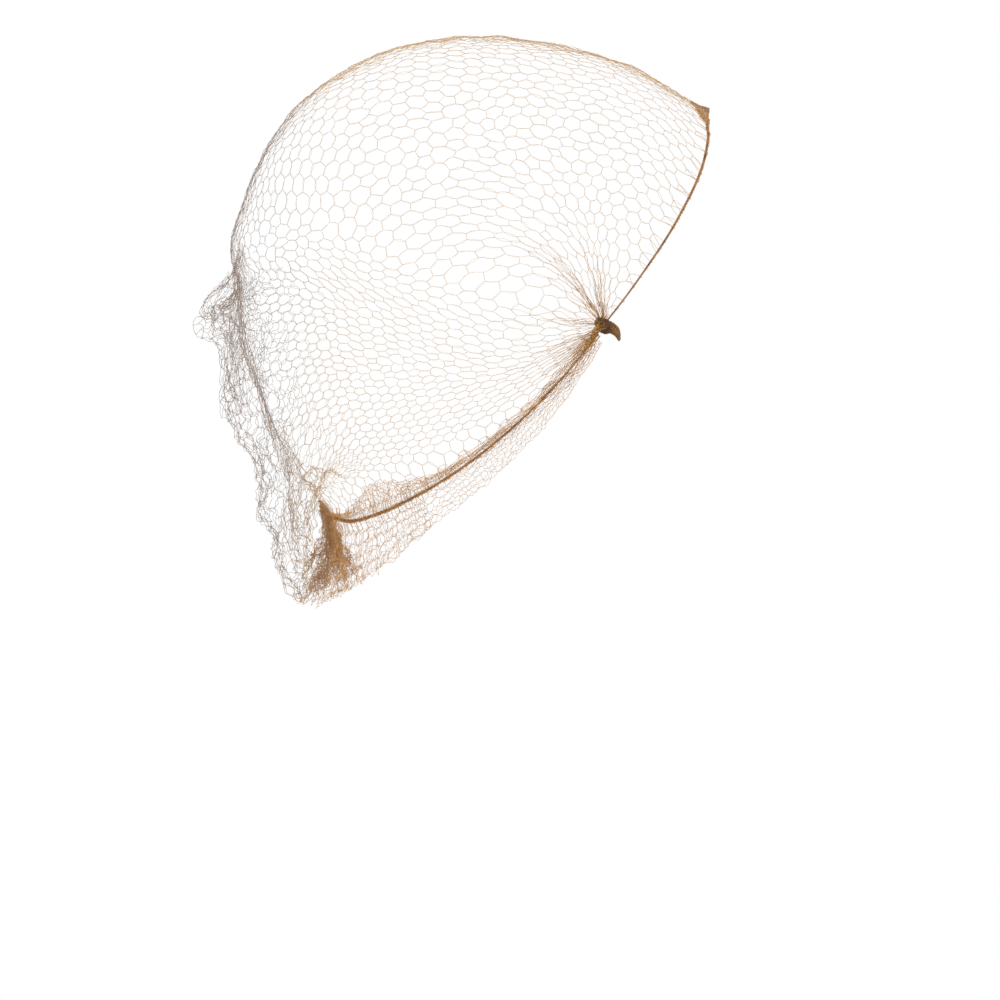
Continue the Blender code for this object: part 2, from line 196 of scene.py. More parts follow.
# %% White card that fades out
CARD_WHITE = (0.93, 0.92, 0.91, 1.0)
CARD_GREYER = (0.88, 0.87, 0.86, 1.0)
CARD_GREYNESS = 0.3  # of the way from white to greyer, at most
CARD_GRAIN = 40.0  # grains to the metre
CARD_ROUGHNESS = 0.9
CARD_FADES = (0.35, 1.45)  # metres from the middle

card = bpy.data.materials.new("white_card")
card.use_nodes = True
card_shader = card.node_tree.nodes["Principled BSDF"]
card_shader.inputs["Roughness"].default_value = CARD_ROUGHNESS
start = Sum(card.node_tree)
far = start.add("TexCoord", {}, {}, "Object").length()
grain = start.add("TexNoise", {}, {"Scale": CARD_GRAIN, "Detail": 2.0}, "Fac")
tint = (grain * CARD_GREYNESS).mix(CARD_WHITE, CARD_GREYER)
card.node_tree.links.new(tint.socket, card_shader.inputs["Base Color"])
clear = start.add("BsdfTransparent", {}, {})
surface = Sum(card.node_tree, card_shader.outputs[0])
faded = start.add("MixShader", {}, {0: far.step(*CARD_FADES), 1: surface, 2: clear})
card.node_tree.links.new(faded.socket, card.node_tree.nodes["Material Output"].inputs["Surface"])
floor_mesh.materials.append(card)
print("floor card: opaque to", CARD_FADES[0], "m and gone at", CARD_FADES[1], "m")

# %% [markdown]
# ## Thread, cord and bound thread
# All of it is dyed nylon or thread-covered elastic: brown, with lighter and darker stretches where the
# dye took unevenly. A single filament is a little glossy. The cord's cover is wound, so fine slanting
# ridges run round it. Each tube below carries a map: across it says how far round the tube a point
# lies, and along it how many millimetres from the start. A sine of the two together gives the slant of
# a twist: it raises the ridges, and it also paints shade into the colour, lighter on their crests and
# darker in their grooves. Behind the head, where the threads hang loose in front of the light, they
# are painted a greyer, washed-out colour, a painted backlight, so the colour shifts with the place on
# the net.

# %% One recipe for everything that is spun
SPUN = {  # dark and light colour, roughness, twists round the tube, millimetres per twist, ridge height
    "netting_thread": ((0.420, 0.240, 0.100), (0.700, 0.450, 0.210), 0.50, 2.0, 0.9, 0.012),
    "gathered_thread": ((0.370, 0.170, 0.042), (0.690, 0.380, 0.115), 0.50, 2.0, 0.9, 0.012),
    "bunched_thread": ((0.280, 0.130, 0.048), (0.640, 0.370, 0.165), 0.50, 2.0, 0.9, 0.012),
    "elastic_cover": ((0.110, 0.045, 0.012), (0.420, 0.200, 0.065), 0.62, 3.0, 1.6, 0.05),
    "cut_thread": ((0.060, 0.026, 0.009), (0.340, 0.165, 0.062), 0.66, 2.0, 1.2, 0.03),
    "bound_thread": ((0.030, 0.013, 0.005), (0.240, 0.115, 0.044), 0.68, 2.0, 1.2, 0.03),
}
DYE_SIZE = 5 * MM
DYE_PART = 0.75  # how much of the tone is the dye's; the rest is painted shade along the twist's grooves and crests
SHADES = (0.3, 0.7)  # where the shade is all dark and all light
UNEVEN_ROUGHNESS = 0.2
RIDGE_STRENGTH = 0.6
SHINE = 0.25
BACKLIT_GREY_FROM = (-0.096, -0.064)  # painted backlight: from these x on, where the threads hang looser, they are painted a greyer, washed-out colour
# painted backlight: the dark and light ends of the washed-out grey painted on the threads behind the head
BACKLIT_GREY_DARK, BACKLIT_GREY_LIGHT = (0.215, 0.150, 0.112), (0.420, 0.320, 0.260)
MATERIALS = {}


def spun_material(name, dark, light, rough, twists, pitch, ridge):
    material = bpy.data.materials.new(name)
    material.use_nodes = True
    shader = material.node_tree.nodes["Principled BSDF"]
    shader.inputs["Specular IOR Level"].default_value = SHINE
    start = Sum(material.node_tree)
    place = start.add("TexCoord", {}, {}, "Object")
    x = start.add("SeparateXYZ", {}, {"Vector": place}, "X")
    round_and_along = start.add("UVMap", {"uv_map": "twist"}, {})
    turn = start.add("SeparateXYZ", {}, {"Vector": round_and_along}, "X")
    along = start.add("SeparateXYZ", {}, {"Vector": round_and_along}, "Y")
    dye = start.add("TexNoise", {}, {"Vector": place, "Scale": 1 / DYE_SIZE, "Detail": 3.0}, "Fac")
    # painted shade: the twist's crests are painted lighter and its grooves darker, as well as raised by the
    # bump
    twist_ridges_and_shade = (turn * (twists * math.tau) + along * (math.tau / pitch)).wave()
    dye_and_ridge_shade = {"Fac": dye * DYE_PART + twist_ridges_and_shade * (1 - DYE_PART)}
    colour = start.add("ValToRGB", {"stops": tuple(zip(SHADES, (dark, light)))}, dye_and_ridge_shade, "Color")
    # painted backlight: behind the head the netting thread's colour fades to a washed-out grey, as thin
    # threads look against the light
    if name == "netting_thread":
        backlit_grey = start.add("ValToRGB", {"stops": tuple(zip(SHADES, (BACKLIT_GREY_DARK, BACKLIT_GREY_LIGHT)))}, dye_and_ridge_shade, "Color")
        colour = x.step(*BACKLIT_GREY_FROM).mix(backlit_grey, colour)
    roughness = dye * UNEVEN_ROUGHNESS + (rough - UNEVEN_ROUGHNESS / 2)
    ridges = {"Height": twist_ridges_and_shade, "Strength": RIDGE_STRENGTH, "Distance": ridge * MM}
    bump = start.add("Bump", {}, ridges, "Normal")
    for key, value in (("Base Color", colour), ("Roughness", roughness), ("Normal", bump)):
        material.node_tree.links.new(value.socket, shader.inputs[key])
    return material


for name, recipe in SPUN.items():
    MATERIALS[name] = spun_material(name, *recipe)
print("materials:", ", ".join(MATERIALS))

# %% [markdown]
# ## The head under the net
# The net is stretched over the head that wears it, so that shape comes first. It is a side outline,
# given by a radius at each angle, that swells to 75 mm on each side. Smooth curves through short tables
# give every other measure: where the hems run, and how the slack stands off behind the head.

# %% Measures of the head, the hems and the slack, in millimetres and degrees
CRANIUM_X = -19.0
CRANIUM_Z = 13.9
HEAD_HALF_WIDTH = 75.0
HEAD_SQUARENESS = 2.3
HEAD_OUTLINE = (  # angle_deg, radius_mm
    (8, 104.6),
    (20, 106.0),
    (34, 106.3),
    (50, 100.4),
    (68, 93.4),
    (90, 90.3),
    (112, 90.2),
    (130, 90.6),
    (150, 89.4),
    (170, 86.6),
    (190, 85.2),
    (205, 86.8),
    (218, 90.6),
    (230, 96.2),
    (240, 101.3),
    (250, 118.0),
    (262, 142.0),
    (285, 155.0),
    (325, 134.0),
    (350, 109.0),
)
KNOT_X = 30.2
KNOT_Z = -2.8
FRONT_HEM = ((0.0, 51.0), (0.26, 53.0), (0.61, 55.5), (0.88, 59.3), (1.0, 62.9))  # share, angle_deg
NAPE_HEM = (  # share, angle_deg
    (0.0, 236.0),
    (0.17, 232.4),
    (0.46, 227.2),
    (0.75, 222.2),
    (0.86, 220.1),
    (0.95, 217.8),
    (1.0, 215.4),
)
POUCH_LEAVES_AT = 160.0
POUCH_REJOINS_AT = 208.0
POUCH_MIDLINE = (  # x_mm, z_mm
    (-106.7, 30.5),
    (-106.8, 20.5),
    (-105.8, 13.0),
    (-109.8, 7.4),
    (-117.4, 5.6),
    (-120.6, -1.4),
    (-117.2, -9.2),
    (-113.2, -13.6),
    (-112.2, -20.2),
    (-113.0, -30.5),
    (-109.6, -39.8),
    (-103.4, -46.1),
    (-100.5, -54.6),
    (-98.2, -64.6),
    (-97.2, -75.6),
    (-91.4, -87.9),
    (-88.6, -98.2),
    (-84.4, -106.5),
    (-79.8, -106.8),
    (-79.6, -98.0),
    (-81.8, -88.0),
    (-84.0, -77.0),
    (-85.6, -67.5),
    (-86.0, -60.5),
)
POUCH_STARTS = 0.58
REACH_LIMIT = 187.5  # farther from a knot than any part of the head
HALVINGS = 26


def smooth_table(at, rows, period=None):
    """Values at places along a table of (place, value) rows, on a smooth curve through them."""
    places, values = np.array(rows, float).T
    if period:
        places = np.concatenate([places[-3:] - period, places, places[:3] + period])
        values = np.concatenate([values[-3:], values, values[:3]])
        at = (np.asarray(at) - places[3]) % period + places[3]
    slopes = np.gradient(values, places)
    at = np.clip(at, places[0], places[-1])
    i = np.clip(np.searchsorted(places, at) - 1, 0, len(places) - 2)
    span = places[i + 1] - places[i]
    t = (at - places[i]) / span
    start = (1 + 2 * t) * (1 - t) ** 2 * values[i] + t * (1 - t) ** 2 * span * slopes[i]
    end = t**2 * (3 - 2 * t) * values[i + 1] - t**2 * (1 - t) * span * slopes[i + 1]
    return start + end


def ramp(value, low, high):
    """0 at low and before it, 1 at high and past it, and smooth between; high may be the smaller one."""
    t = np.clip((value - low) / (high - low), 0.0, 1.0)
    return t * t * (3 - 2 * t)


def outline_share(x, z):
    """How far a point of the side view lies from the cranium's middle (0) towards the head's outline (1)."""
    dx, dz = x - CRANIUM_X, z - CRANIUM_Z
    angle = np.degrees(np.arctan2(dz, dx)) % 360
    return np.hypot(dx, dz) / smooth_table(angle, HEAD_OUTLINE, period=360)


def half_width(x, z):
    """Half the head's width at a point of its side view."""
    inside = np.clip(outline_share(x, z), 0, 1)
    return HEAD_HALF_WIDTH * (1 - inside**HEAD_SQUARENESS) ** (1 / HEAD_SQUARENESS)


def reach(angle_deg):
    """Distance in the side view from the knot to the head's outline, found by halving."""
    cos, sin = np.cos(np.radians(angle_deg)), np.sin(np.radians(angle_deg))
    near, far = np.zeros_like(cos), np.full_like(cos, REACH_LIMIT)
    for _ in range(HALVINGS):
        middle = (near + far) / 2
        inside = outline_share(KNOT_X + middle * cos, KNOT_Z + middle * sin) < 1
        near, far = np.where(inside, middle, near), np.where(inside, far, middle)
    return near


def head_point(share, angle_deg):
    """Points of the head's right side, a share of the way from knot to midline, in given directions."""
    distance = reach(angle_deg) * share
    x = KNOT_X + distance * np.cos(np.radians(angle_deg))
    z = KNOT_Z + distance * np.sin(np.radians(angle_deg))
    return np.stack([x, -half_width(x, z), z], -1)


def unit(vectors):
    return vectors / np.maximum(np.linalg.norm(vectors, axis=-1, keepdims=True), 1e-9)


def lengths_along(points):
    """Distance along a line of points, starting at 0."""
    steps = np.linalg.norm(np.diff(points, axis=-2), axis=-1)
    return np.concatenate([np.zeros(steps.shape[:-1] + (1,)), np.cumsum(steps, -1)], -1)


print(f"the head under the net is {2 * HEAD_HALF_WIDTH:.0f} mm wide")

# %% [markdown]
# ## The sheet as a map
# The sheet is like a globe whose poles are the two knots. `over` runs from knot to knot, 0 to 2, and
# `down` from the front hem to the nape hem, 0 to 1, in equal steps of length along the middle. A fine
# grid of points is worked out once, and after that any place on the sheet is read from it, so thousands
# of threads cost nothing.

# %% The grid that the threads are laid on
DOWN_STEPS = 300
OVER_STEPS = 200
LINE_POINTS = 160
CROWN_POINTS, POUCH_POINTS, NAPE_POINTS = 120, 240, 20  # along the midline


def midline_path():
    """The net's midline: distance along it, place on the head, and how far slack moves it from there."""
    front, nape = FRONT_HEM[-1][1], NAPE_HEM[-1][1]
    leaves = (POUCH_LEAVES_AT - front) / (nape - front)
    rejoins = (POUCH_REJOINS_AT - front) / (nape - front)

    def on_head(across):
        return head_point(np.ones_like(across), front + (nape - front) * across)[:, [0, 2]]

    crown, nape_end = np.linspace(0, leaves, CROWN_POINTS), np.linspace(rejoins, 1, NAPE_POINTS)
    table = np.array([on_head(crown[-1:])[0], *POUCH_MIDLINE, on_head(nape_end[:1])[0]])
    rows = np.arange(len(table))
    fine = np.linspace(0, rows[-1], POUCH_POINTS)
    pouch = np.stack([smooth_table(fine, np.stack([rows, table[:, k]], -1)) for k in range(2)], -1)
    along = lengths_along(pouch)
    home = leaves + (rejoins - leaves) * along / along[-1]
    points = np.concatenate([on_head(crown), pouch[1:-1], on_head(nape_end)])
    across = np.concatenate([crown, home[1:-1], nape_end])
    return lengths_along(points), across, points - on_head(across)


def sheet_line(across, shift, over):
    """One line of the net from knot to knot."""
    share = np.sin(np.linspace(0, math.pi / 2, LINE_POINTS))
    front, nape = smooth_table(share, FRONT_HEM), smooth_table(share, NAPE_HEM)
    half = head_point(share, front + (nape - front) * across)
    along = lengths_along(half)
    place = 1 - np.abs(1 - over)
    points = np.stack([np.interp(place * along[-1], along, half[:, k]) for k in range(3)], -1)
    points[:, [0, 2]] += ramp(place, POUCH_STARTS, 1)[:, None] * shift
    points[over > 1, 1] *= -1
    return points


path, across_path, shift_path = midline_path()
NET_LENGTH = path[-1]
over_grid = np.linspace(0, 2, OVER_STEPS + 1)
down_grid = np.linspace(0, 1, DOWN_STEPS + 1)
sheet_grid, head_grid = [], []
for place in down_grid * NET_LENGTH:
    shift = np.array([np.interp(place, path, shift_path[:, k]) for k in range(2)])
    across = np.interp(place, path, across_path)
    sheet_grid.append(sheet_line(across, shift, over_grid))
    head_grid.append(sheet_line(across, 0 * shift, over_grid))
sheet_grid, head_grid = np.array(sheet_grid), np.array(head_grid)
normal_grid = unit(np.cross(np.gradient(sheet_grid, axis=1), np.gradient(sheet_grid, axis=0)))
normal_grid[:, :2] = normal_grid[:, 2:3]
normal_grid[:, -2:] = normal_grid[:, -3:-2]
if np.dot(normal_grid[DOWN_STEPS // 3, OVER_STEPS // 2], (0, 0, 1)) < 0:
    normal_grid = -normal_grid


def read_grid(grid, down, over):
    """Values of a grid at any places on the sheet."""
    d = np.clip(down, 0, 1) * DOWN_STEPS
    o = np.clip(over, 0, 2) * OVER_STEPS / 2
    i = np.minimum(d.astype(int), DOWN_STEPS - 1)
    j = np.minimum(o.astype(int), OVER_STEPS - 1)
    s, t = (d - i)[..., None], (o - j)[..., None]
    low = grid[i, j] * (1 - t) + grid[i, j + 1] * t
    high = grid[i + 1, j] * (1 - t) + grid[i + 1, j + 1] * t
    return low * (1 - s) + high * s


print(f"the sheet is {NET_LENGTH:.0f} mm from hem to hem along its middle")

# %% [markdown]
# ## Nothing in netting is even
# A net that hangs by hand has no two cells alike. Computers give the same randomness each time when
# they start from a fixed number, which keeps the lesson repeatable. `drift` is a smooth field made of a
# few slanting waves. Neighbouring places get nearly the same value, so it bends the net gently and
# never tears it.

# %% A smooth wandering value for any place
WAVES = 9
WAVES_TO_SIZE = (0.6, 1.5)  # fewest and most waves in the size that is asked for
WAVE_HEIGHT = 0.9


def drift(points, size, seed):
    """About -1 to 1, changing smoothly over lengths of this size in millimetres."""
    random = np.random.default_rng(seed)
    ways = unit(random.normal(size=(WAVES, 3)))
    directions = ways * random.uniform(*WAVES_TO_SIZE, (WAVES, 1)) * math.tau / size
    phases = random.uniform(0, math.tau, WAVES)
    return np.sin(points @ directions.T + phases).sum(-1) / math.sqrt(WAVES) * WAVE_HEIGHT


print("drift at the origin:", round(float(drift(np.zeros(3), 20, 1)), 3))

# %% [markdown]
# ## Thousands of tubes in one mesh
# A curve object for each thread would be far too many objects. Here all threads that have the same
# number of points are swept together with numpy: a small ring of corners at each point, rings joined by
# four-sided faces, and a face to close each end. The result is one mesh, and its map of turns and
# millimetres is filled in as it grows.

# %% Tubes, beads and the mesh that holds them
def tubes(paths, radius, outward, sides=3):
    """Closed tubes along paths (tube, point, xyz), as corners, faces and the map of each face's corners."""
    paths = np.asarray(paths, float)
    count, points, _ = paths.shape
    along = unit(np.gradient(paths, axis=1))
    side = unit(np.cross(along, np.broadcast_to(outward, paths.shape)))
    up = np.cross(side, along)
    turn = math.tau * np.arange(sides) / sides
    ring = np.cos(turn)[:, None] * side[:, :, None] + np.sin(turn)[:, None] * up[:, :, None]
    radius = np.broadcast_to(radius, (count, points))
    corners = paths[:, :, None] + radius[..., None, None] * ring
    index = np.arange(count * points * sides).reshape(count, points, sides)
    near, far = index[:, :-1], index[:, 1:]
    quads = np.stack([near, far, np.roll(far, -1, 2), np.roll(near, -1, 2)], -1).reshape(-1, 4)
    length = lengths_along(paths)
    start = np.broadcast_to(length[:, :-1, None], near.shape)
    end = np.broadcast_to(length[:, 1:, None], near.shape)
    first = np.broadcast_to(np.arange(sides) / sides, near.shape)
    last = first + 1 / sides
    places = np.stack([first, start, first, end, last, end, last, start], -1).reshape(-1, 4, 2)
    caps = np.concatenate([index[:, 0], index[:, -1, ::-1]])
    cap_places = np.zeros(caps.shape + (2,))
    return corners.reshape(-1, 3), [(quads, places), (caps, cap_places)]


def beads(centres, radius):
    """Small eight-sided beads, as corners and faces."""
    star = np.array([[1, 0, 0], [0, 1, 0], [-1, 0, 0], [0, -1, 0], [0, 0, 1], [0, 0, -1]], float)
    corners = np.asarray(centres)[:, None] + np.broadcast_to(radius, len(centres))[:, None, None] * star
    sides = [[k, (k + 1) % 4, 4] for k in range(4)] + [[(k + 1) % 4, k, 5] for k in range(4)]
    faces = (np.arange(len(centres))[:, None, None] * 6 + np.array(sides)).reshape(-1, 3)
    return corners.reshape(-1, 3), [(faces, np.zeros(faces.shape + (2,)))]


def spun_object(name, shapes, material, replaced):
    """One object from several sets of tubes and beads, standing for a solid of the model."""
    corners = np.concatenate([shape[0] for shape in shapes]) * MM
    starts = np.cumsum([0] + [len(shape[0]) for shape in shapes])
    groups = [(faces + s, places) for s, shape in zip(starts, shapes) for faces, places in shape[1]]
    mesh = bpy.data.meshes.new(name)
    mesh.from_pydata(corners.tolist(), [], [f for faces, _ in groups for f in faces.tolist()])
    layer = mesh.uv_layers.new(name="twist")
    places = np.concatenate([places.reshape(-1, 2) for _, places in groups])
    layer.data.foreach_set("uv", places.astype(np.float32).ravel())
    mesh.shade_smooth()
    mesh.materials.append(MATERIALS[material])
    made = bpy.data.objects.new(name, mesh)
    bpy.context.scene.collection.objects.link(made)
    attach(made, "root")
    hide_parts(replaced)
    triangles = sum(len(faces) * (faces.shape[1] - 2) for faces, _ in groups)
    print(f"{name}: {triangles} triangles")


# %% [markdown]
# ## The mesh of the net
# This netting has no knots in it: its threads part and meet again in six-sided cells. A neat way to
# such cells is to scatter seeds in rows, join neighbouring rows into triangles, and draw a thread
# between the middles of each two triangles that touch. Every seed then has a cell round it, mostly
# six-sided. Rows near a knot are short but keep enough seeds for the netting that is gathered there, so
# its cells crowd together and turn into folds. The left half repeats the right one's rows in mirror
# image. Over the crown the net is slack from side to side, so rows are close there. A second list gives
# the same rows even distances, for the back of the net, where it is pulled wide.

# %% Seeds, cells and threads on the sheet
CELL_SIZE = 5.7  # from one cell's middle to the next
ROW_PITCH = 0.87  # of a cell, since rows of cells interlock
GATHERED_WIDTH = 150.0  # netting gathered into each knot
OVER_START = 0.035  # where the first row lies, as a part of the way to the midline
UNEVEN = 0.15  # of the distance between seeds
INTERLOCK = 0.25  # how far rows lie to one side and the next ones to the other, in the same way
CLOSE_AT_MIDDLE = 0.52  # how much nearer together rows are beside the midline
CLOSE_NEAR = (0.78, 0.78 + 0.22 / 1.5)  # where that starts and is whole, as parts of the way there
FOLD_ENDS = 0.50  # how far from a knot its gathers reach, as a part of the way to the midline
DRAWN_OUT = 0.45  # how much longer cells are where they are gathered


def row_widths(over):
    """Length of the sheet from hem to hem at each place from knot to knot."""
    return np.interp(over, over_grid, lengths_along(np.swapaxes(sheet_grid, 0, 1))[:, -1])


def seed_rows(over_rows, counts, random):
    """Each row's seeds as (down, over), shuffled a little."""
    rows = []
    step = over_rows[1] - over_rows[0]
    for k, (over, count) in enumerate(zip(over_rows, counts)):
        down = (np.arange(count) + 0.5 + INTERLOCK * (-1) ** k) / count
        down = down + random.uniform(-UNEVEN, UNEVEN, count) / count
        rows.append(np.stack([down, over + random.uniform(-UNEVEN, UNEVEN, count) * step], -1))
    return rows


def stitched(rows):
    """Middles of the triangles between rows, the pairs that touch, and those along the four edges."""
    middles, pairs, ends, rim = [], [], [], []
    below = {}
    for a, b in zip(rows, rows[1:]):
        i = j = 0
        above = {}
        first = len(middles)
        while i < len(a) - 1 or j < len(b) - 1:
            upper = j == len(b) - 1 or (i < len(a) - 1 and a[i + 1][0] < b[j + 1][0])
            corner = a[i + 1] if upper else b[j + 1]
            here = len(middles)
            middles.append((a[i] + b[j] + corner) / 3)
            if here > first:
                pairs.append((here - 1, here))
            if upper:
                if i in below:
                    pairs.append((below[i], here))
                if a is rows[0]:
                    rim.append(here)
                i += 1
            else:
                above[j] = here
                j += 1
        ends.append((first, len(middles) - 1))
        below = above
    edges = [np.array(edge) for edge in (ends, rim, list(below.values()))]
    return np.array(middles), np.array(pairs), edges


half_line = lengths_along(sheet_grid[DOWN_STEPS // 4])[-1] / 2
row_step = CELL_SIZE * ROW_PITCH / half_line
over_rows = [OVER_START]
while over_rows[-1] < 1:
    drawn_out = 1 + DRAWN_OUT * (1 - ramp(over_rows[-1], 0, FOLD_ENDS))
    closer = 1 - CLOSE_AT_MIDDLE * ramp(over_rows[-1], *CLOSE_NEAR)
    over_rows.append(over_rows[-1] + row_step * drawn_out * closer)
over_rows = np.array(over_rows) * (1 / over_rows[-1])
steps = np.diff(over_rows)
steps[len(steps) // 2 :] = steps[len(steps) // 2]
even_rows = np.concatenate([[0], np.cumsum(steps)])
even_rows = OVER_START + even_rows / even_rows[-1] * (1 - OVER_START)
seed_counts = np.round(np.hypot(row_widths(over_rows), GATHERED_WIDTH) / CELL_SIZE).astype(int)
rows = seed_rows(over_rows, seed_counts, np.random.default_rng(5))
rows += [row * [1, -1] + [0, 2] for row in rows[-2::-1]]
cells, cell_pairs, cell_edges = stitched(rows)
print(f"{len(rows)} rows of cells, {len(cells)} crossings, {len(cell_pairs)} threads")

# %% [markdown]
# ## Gathers, folds and slack
# Near a knot the netting doesn't spread evenly. It draws together into a few thick folds, which run up
# over the temple and down along the nape elastic. A table says where each part of the sheet goes beside
# the knot, and its hold fades out over the side of the head. The slack behind the head crumples
# instead: it drifts in and out by a few millimetres, with smaller crumples on top. Where it folds back
# up behind the nape, the fold's line wanders.

# %% From a place on the sheet to a point in space
FOLDS = (  # place from hem to hem on the even sheet, place beside the knot
    (0.0, 0.0),
    (0.05, 0.06),
    (0.10, 0.105),
    (0.15, 0.128),
    (0.20, 0.143),
    (0.25, 0.165),
    (0.30, 0.205),
    (0.36, 0.232),
    (0.42, 0.255),
    (0.48, 0.33),
    (0.56, 0.50),
    (0.65, 0.70),
    (0.75, 0.83),
    (0.87, 0.92),
    (1.0, 1.0),
)
NET_OFF = 0.25  # the net's usual distance from the head, and how far that wanders
PLEATS = 23
PLEAT_HEIGHT = 0.7
PLEATS_NEAR = (0.0, 0.06, 0.12, 0.52)  # from a knot: where pleats begin, are whole, start to end, and end
POUCH_DOWN = (0.50, 0.57, 0.90, 0.97)  # the same of the slack, from hem to hem
POUCH_NEAR = (0.50, 0.86)  # where the slack begins and is whole, from a knot
SLACK_IN = (0.64, 0.74)  # from the first place to the second the slack comes to lie less far inwards
SLACK_LESS_IN = 0.75  # how much less
SLACK_WAVES = ((2.4, 34, 0.8, 4), (1.8, 13, 0.6, 6))  # height, size, part of the height inwards, seed
CROWN_DOWN = (0.50, 0.58)  # where the crown's close rows and its loose line start to end, and end
CROWN_NEAR = (0.72, 0.97)
CROWN_STANDS = 0.4
CROWN_UNEVEN = 0.6
CROWN_LOOSE = 0.3
CREASE_DOWN = (0.84, 0.91, 0.98)  # where the slack folds back up behind the nape: from, middle, to
CREASE_NEAR = (0.60, 0.85)
CREASE_DRIFT = 8.0


def evened(over):
    """Where lines of the net run once their distances are even again, behind the head."""
    near = np.minimum(over, 2 - over)
    even = np.interp(near, over_rows, even_rows)
    return np.where(over < 1, even, 2 - even)


def laid(down, over):
    """Points, outward directions and looseness of the worn net at places on the sheet."""
    near = np.minimum(over, 2 - over)
    moved = down + (1 - ramp(near, 0, FOLD_ENDS)) * (smooth_table(down, FOLDS) - down)
    over = over + ramp(moved, *CROWN_DOWN) * (evened(over) - over)
    near = np.minimum(over, 2 - over)
    points, normals = read_grid(sheet_grid, moved, over), unit(read_grid(normal_grid, moved, over))
    right = np.stack([points[..., 0], -np.abs(points[..., 1]), points[..., 2]], -1)
    begins, whole, closes, ends = POUCH_DOWN
    slack = ramp(moved, begins, whole) * ramp(moved, ends, closes) * ramp(near, *POUCH_NEAR)
    begins, whole, closes, ends = PLEATS_NEAR
    pleat = np.sin(math.pi * PLEATS * down) ** 2 * ramp(near, begins, whole) * ramp(near, ends, closes)
    crown = ramp(near, *CROWN_NEAR) * ramp(moved, *CROWN_DOWN[::-1])
    inward = 1 - SLACK_LESS_IN * ramp(moved, *SLACK_IN)
    lift = NET_OFF * (1 + drift(right, 17, 3)) + PLEAT_HEIGHT * pleat
    for height, size, inwards, seed in SLACK_WAVES:
        lift = lift + slack * height * (drift(points, size, seed) - inwards * inward)
    lift = lift + CROWN_STANDS * crown * (1 + CROWN_UNEVEN * drift(points, 7, 9))
    points = points + normals * lift[..., None]
    begins, whole, ends = CREASE_DOWN
    crease = ramp(moved, begins, whole) * ramp(moved, ends, whole) * ramp(near, *CREASE_NEAR)
    points[..., 2] += CREASE_DRIFT * crease * drift(points * [0.2, 1, 0.2], 34, 2)
    return points, normals, np.maximum(slack, CROWN_LOOSE * crown)


crossings, crossing_normals, looseness = laid(cells[:, 0], cells[:, 1])
print(f"the net reaches from {crossings.min(0).round()} to {crossings.max(0).round()} mm")

# %% [markdown]
# ## The netting
# Each thread is a three-sided tube with bends in it, about an eighth of a millimetre thick where it is
# stretched and thicker where it hangs loose. Where three of them meet, the filaments are fused into a
# spot slightly thicker than a thread, which shows as a fine dot. The net is made as two pieces, right
# and left, so that neither is too heavy.

# %% Threads and their meeting points
TAUT_RADIUS = 0.058
LOOSE_RADIUS = 0.086
DOT_SIZE = 1.7  # of a thread's radius
DOTS_UNEVEN = (0.8, 1.15)
TAUT_BEND = 0.10  # of a thread's length
LOOSE_BEND = 0.26
BENDS_AT = 0.34  # of a thread's length, from either end


def taut_to_loose(taut, slack, loose):
    """A value for each thread or dot, by how loose it hangs."""
    return taut + (slack - taut) * loose


def thread_tubes(starts, ends, outward, loose, random):
    """Threads between pairs of points, bent a little, and more where they are loose."""
    length = np.linalg.norm(ends - starts, axis=-1, keepdims=True)
    bend = length * taut_to_loose(TAUT_BEND, LOOSE_BEND, loose[:, None])
    first, second = (unit(random.normal(size=starts.shape)) * bend for _ in range(2))
    near_start = starts * (1 - BENDS_AT) + ends * BENDS_AT + first
    near_end = starts * BENDS_AT + ends * (1 - BENDS_AT) + first / 2 + second / 2
    path = np.stack([starts, near_start, near_end, ends], 1)
    return tubes(path, taut_to_loose(TAUT_RADIUS, LOOSE_RADIUS, loose[:, None]), outward[:, None])


def net_shapes(points, normals, pairs, loose, seed):
    """The threads of some pairs of crossings, and a dot at each crossing that they use."""
    random = np.random.default_rng(seed)
    first, second = pairs.T
    threads = thread_tubes(points[first], points[second], normals[first], loose[first], random)
    used = np.unique(pairs)
    dot = DOT_SIZE * taut_to_loose(TAUT_RADIUS, LOOSE_RADIUS, loose[used])
    dots = beads(points[used], random.uniform(*DOTS_UNEVEN, len(used)) * dot)
    return [threads, dots]


pair_over = cells[cell_pairs].mean(1)[:, 1]
for name, chosen, seed in (("right_netting", pair_over < 1, 11), ("left_netting", pair_over >= 1, 12)):
    shapes = net_shapes(crossings, crossing_normals, cell_pairs[chosen], looseness, seed)
    spun_object(name, shapes, "netting_thread", "net")

# %% [markdown]
# ## Netting folded against the head
# Behind the head the slack isn't one layer. Part of the netting stays tight against the head and runs
# down to the nape, and more of it lies folded between there and the puffs. The same cells make both
# layers: a share of the way from the bare head's grid to the slack's says how far out each one lies,
# and that share wanders.

# %% The layers inside the slack
INNER_LAYERS = (  # name, least and greatest share of the way out, millimetres off the head, edges, seed
    ("inner_netting", 0.0, 0.20, 0.30, (0.52, 0.95, 0.83), 7),
    ("folded_netting", 0.25, 0.85, 0.8, (0.54, 0.68, 0.76), 17),
)
INNER_RAGGED = 0.06  # how far their edges wander, as a part of the sheet
INNER_OUT = (0.4, 0.7)  # usual place between least and greatest, and how far it wanders from there
INNER_UNEVEN = 0.6
INNER_LOOSE = 0.35

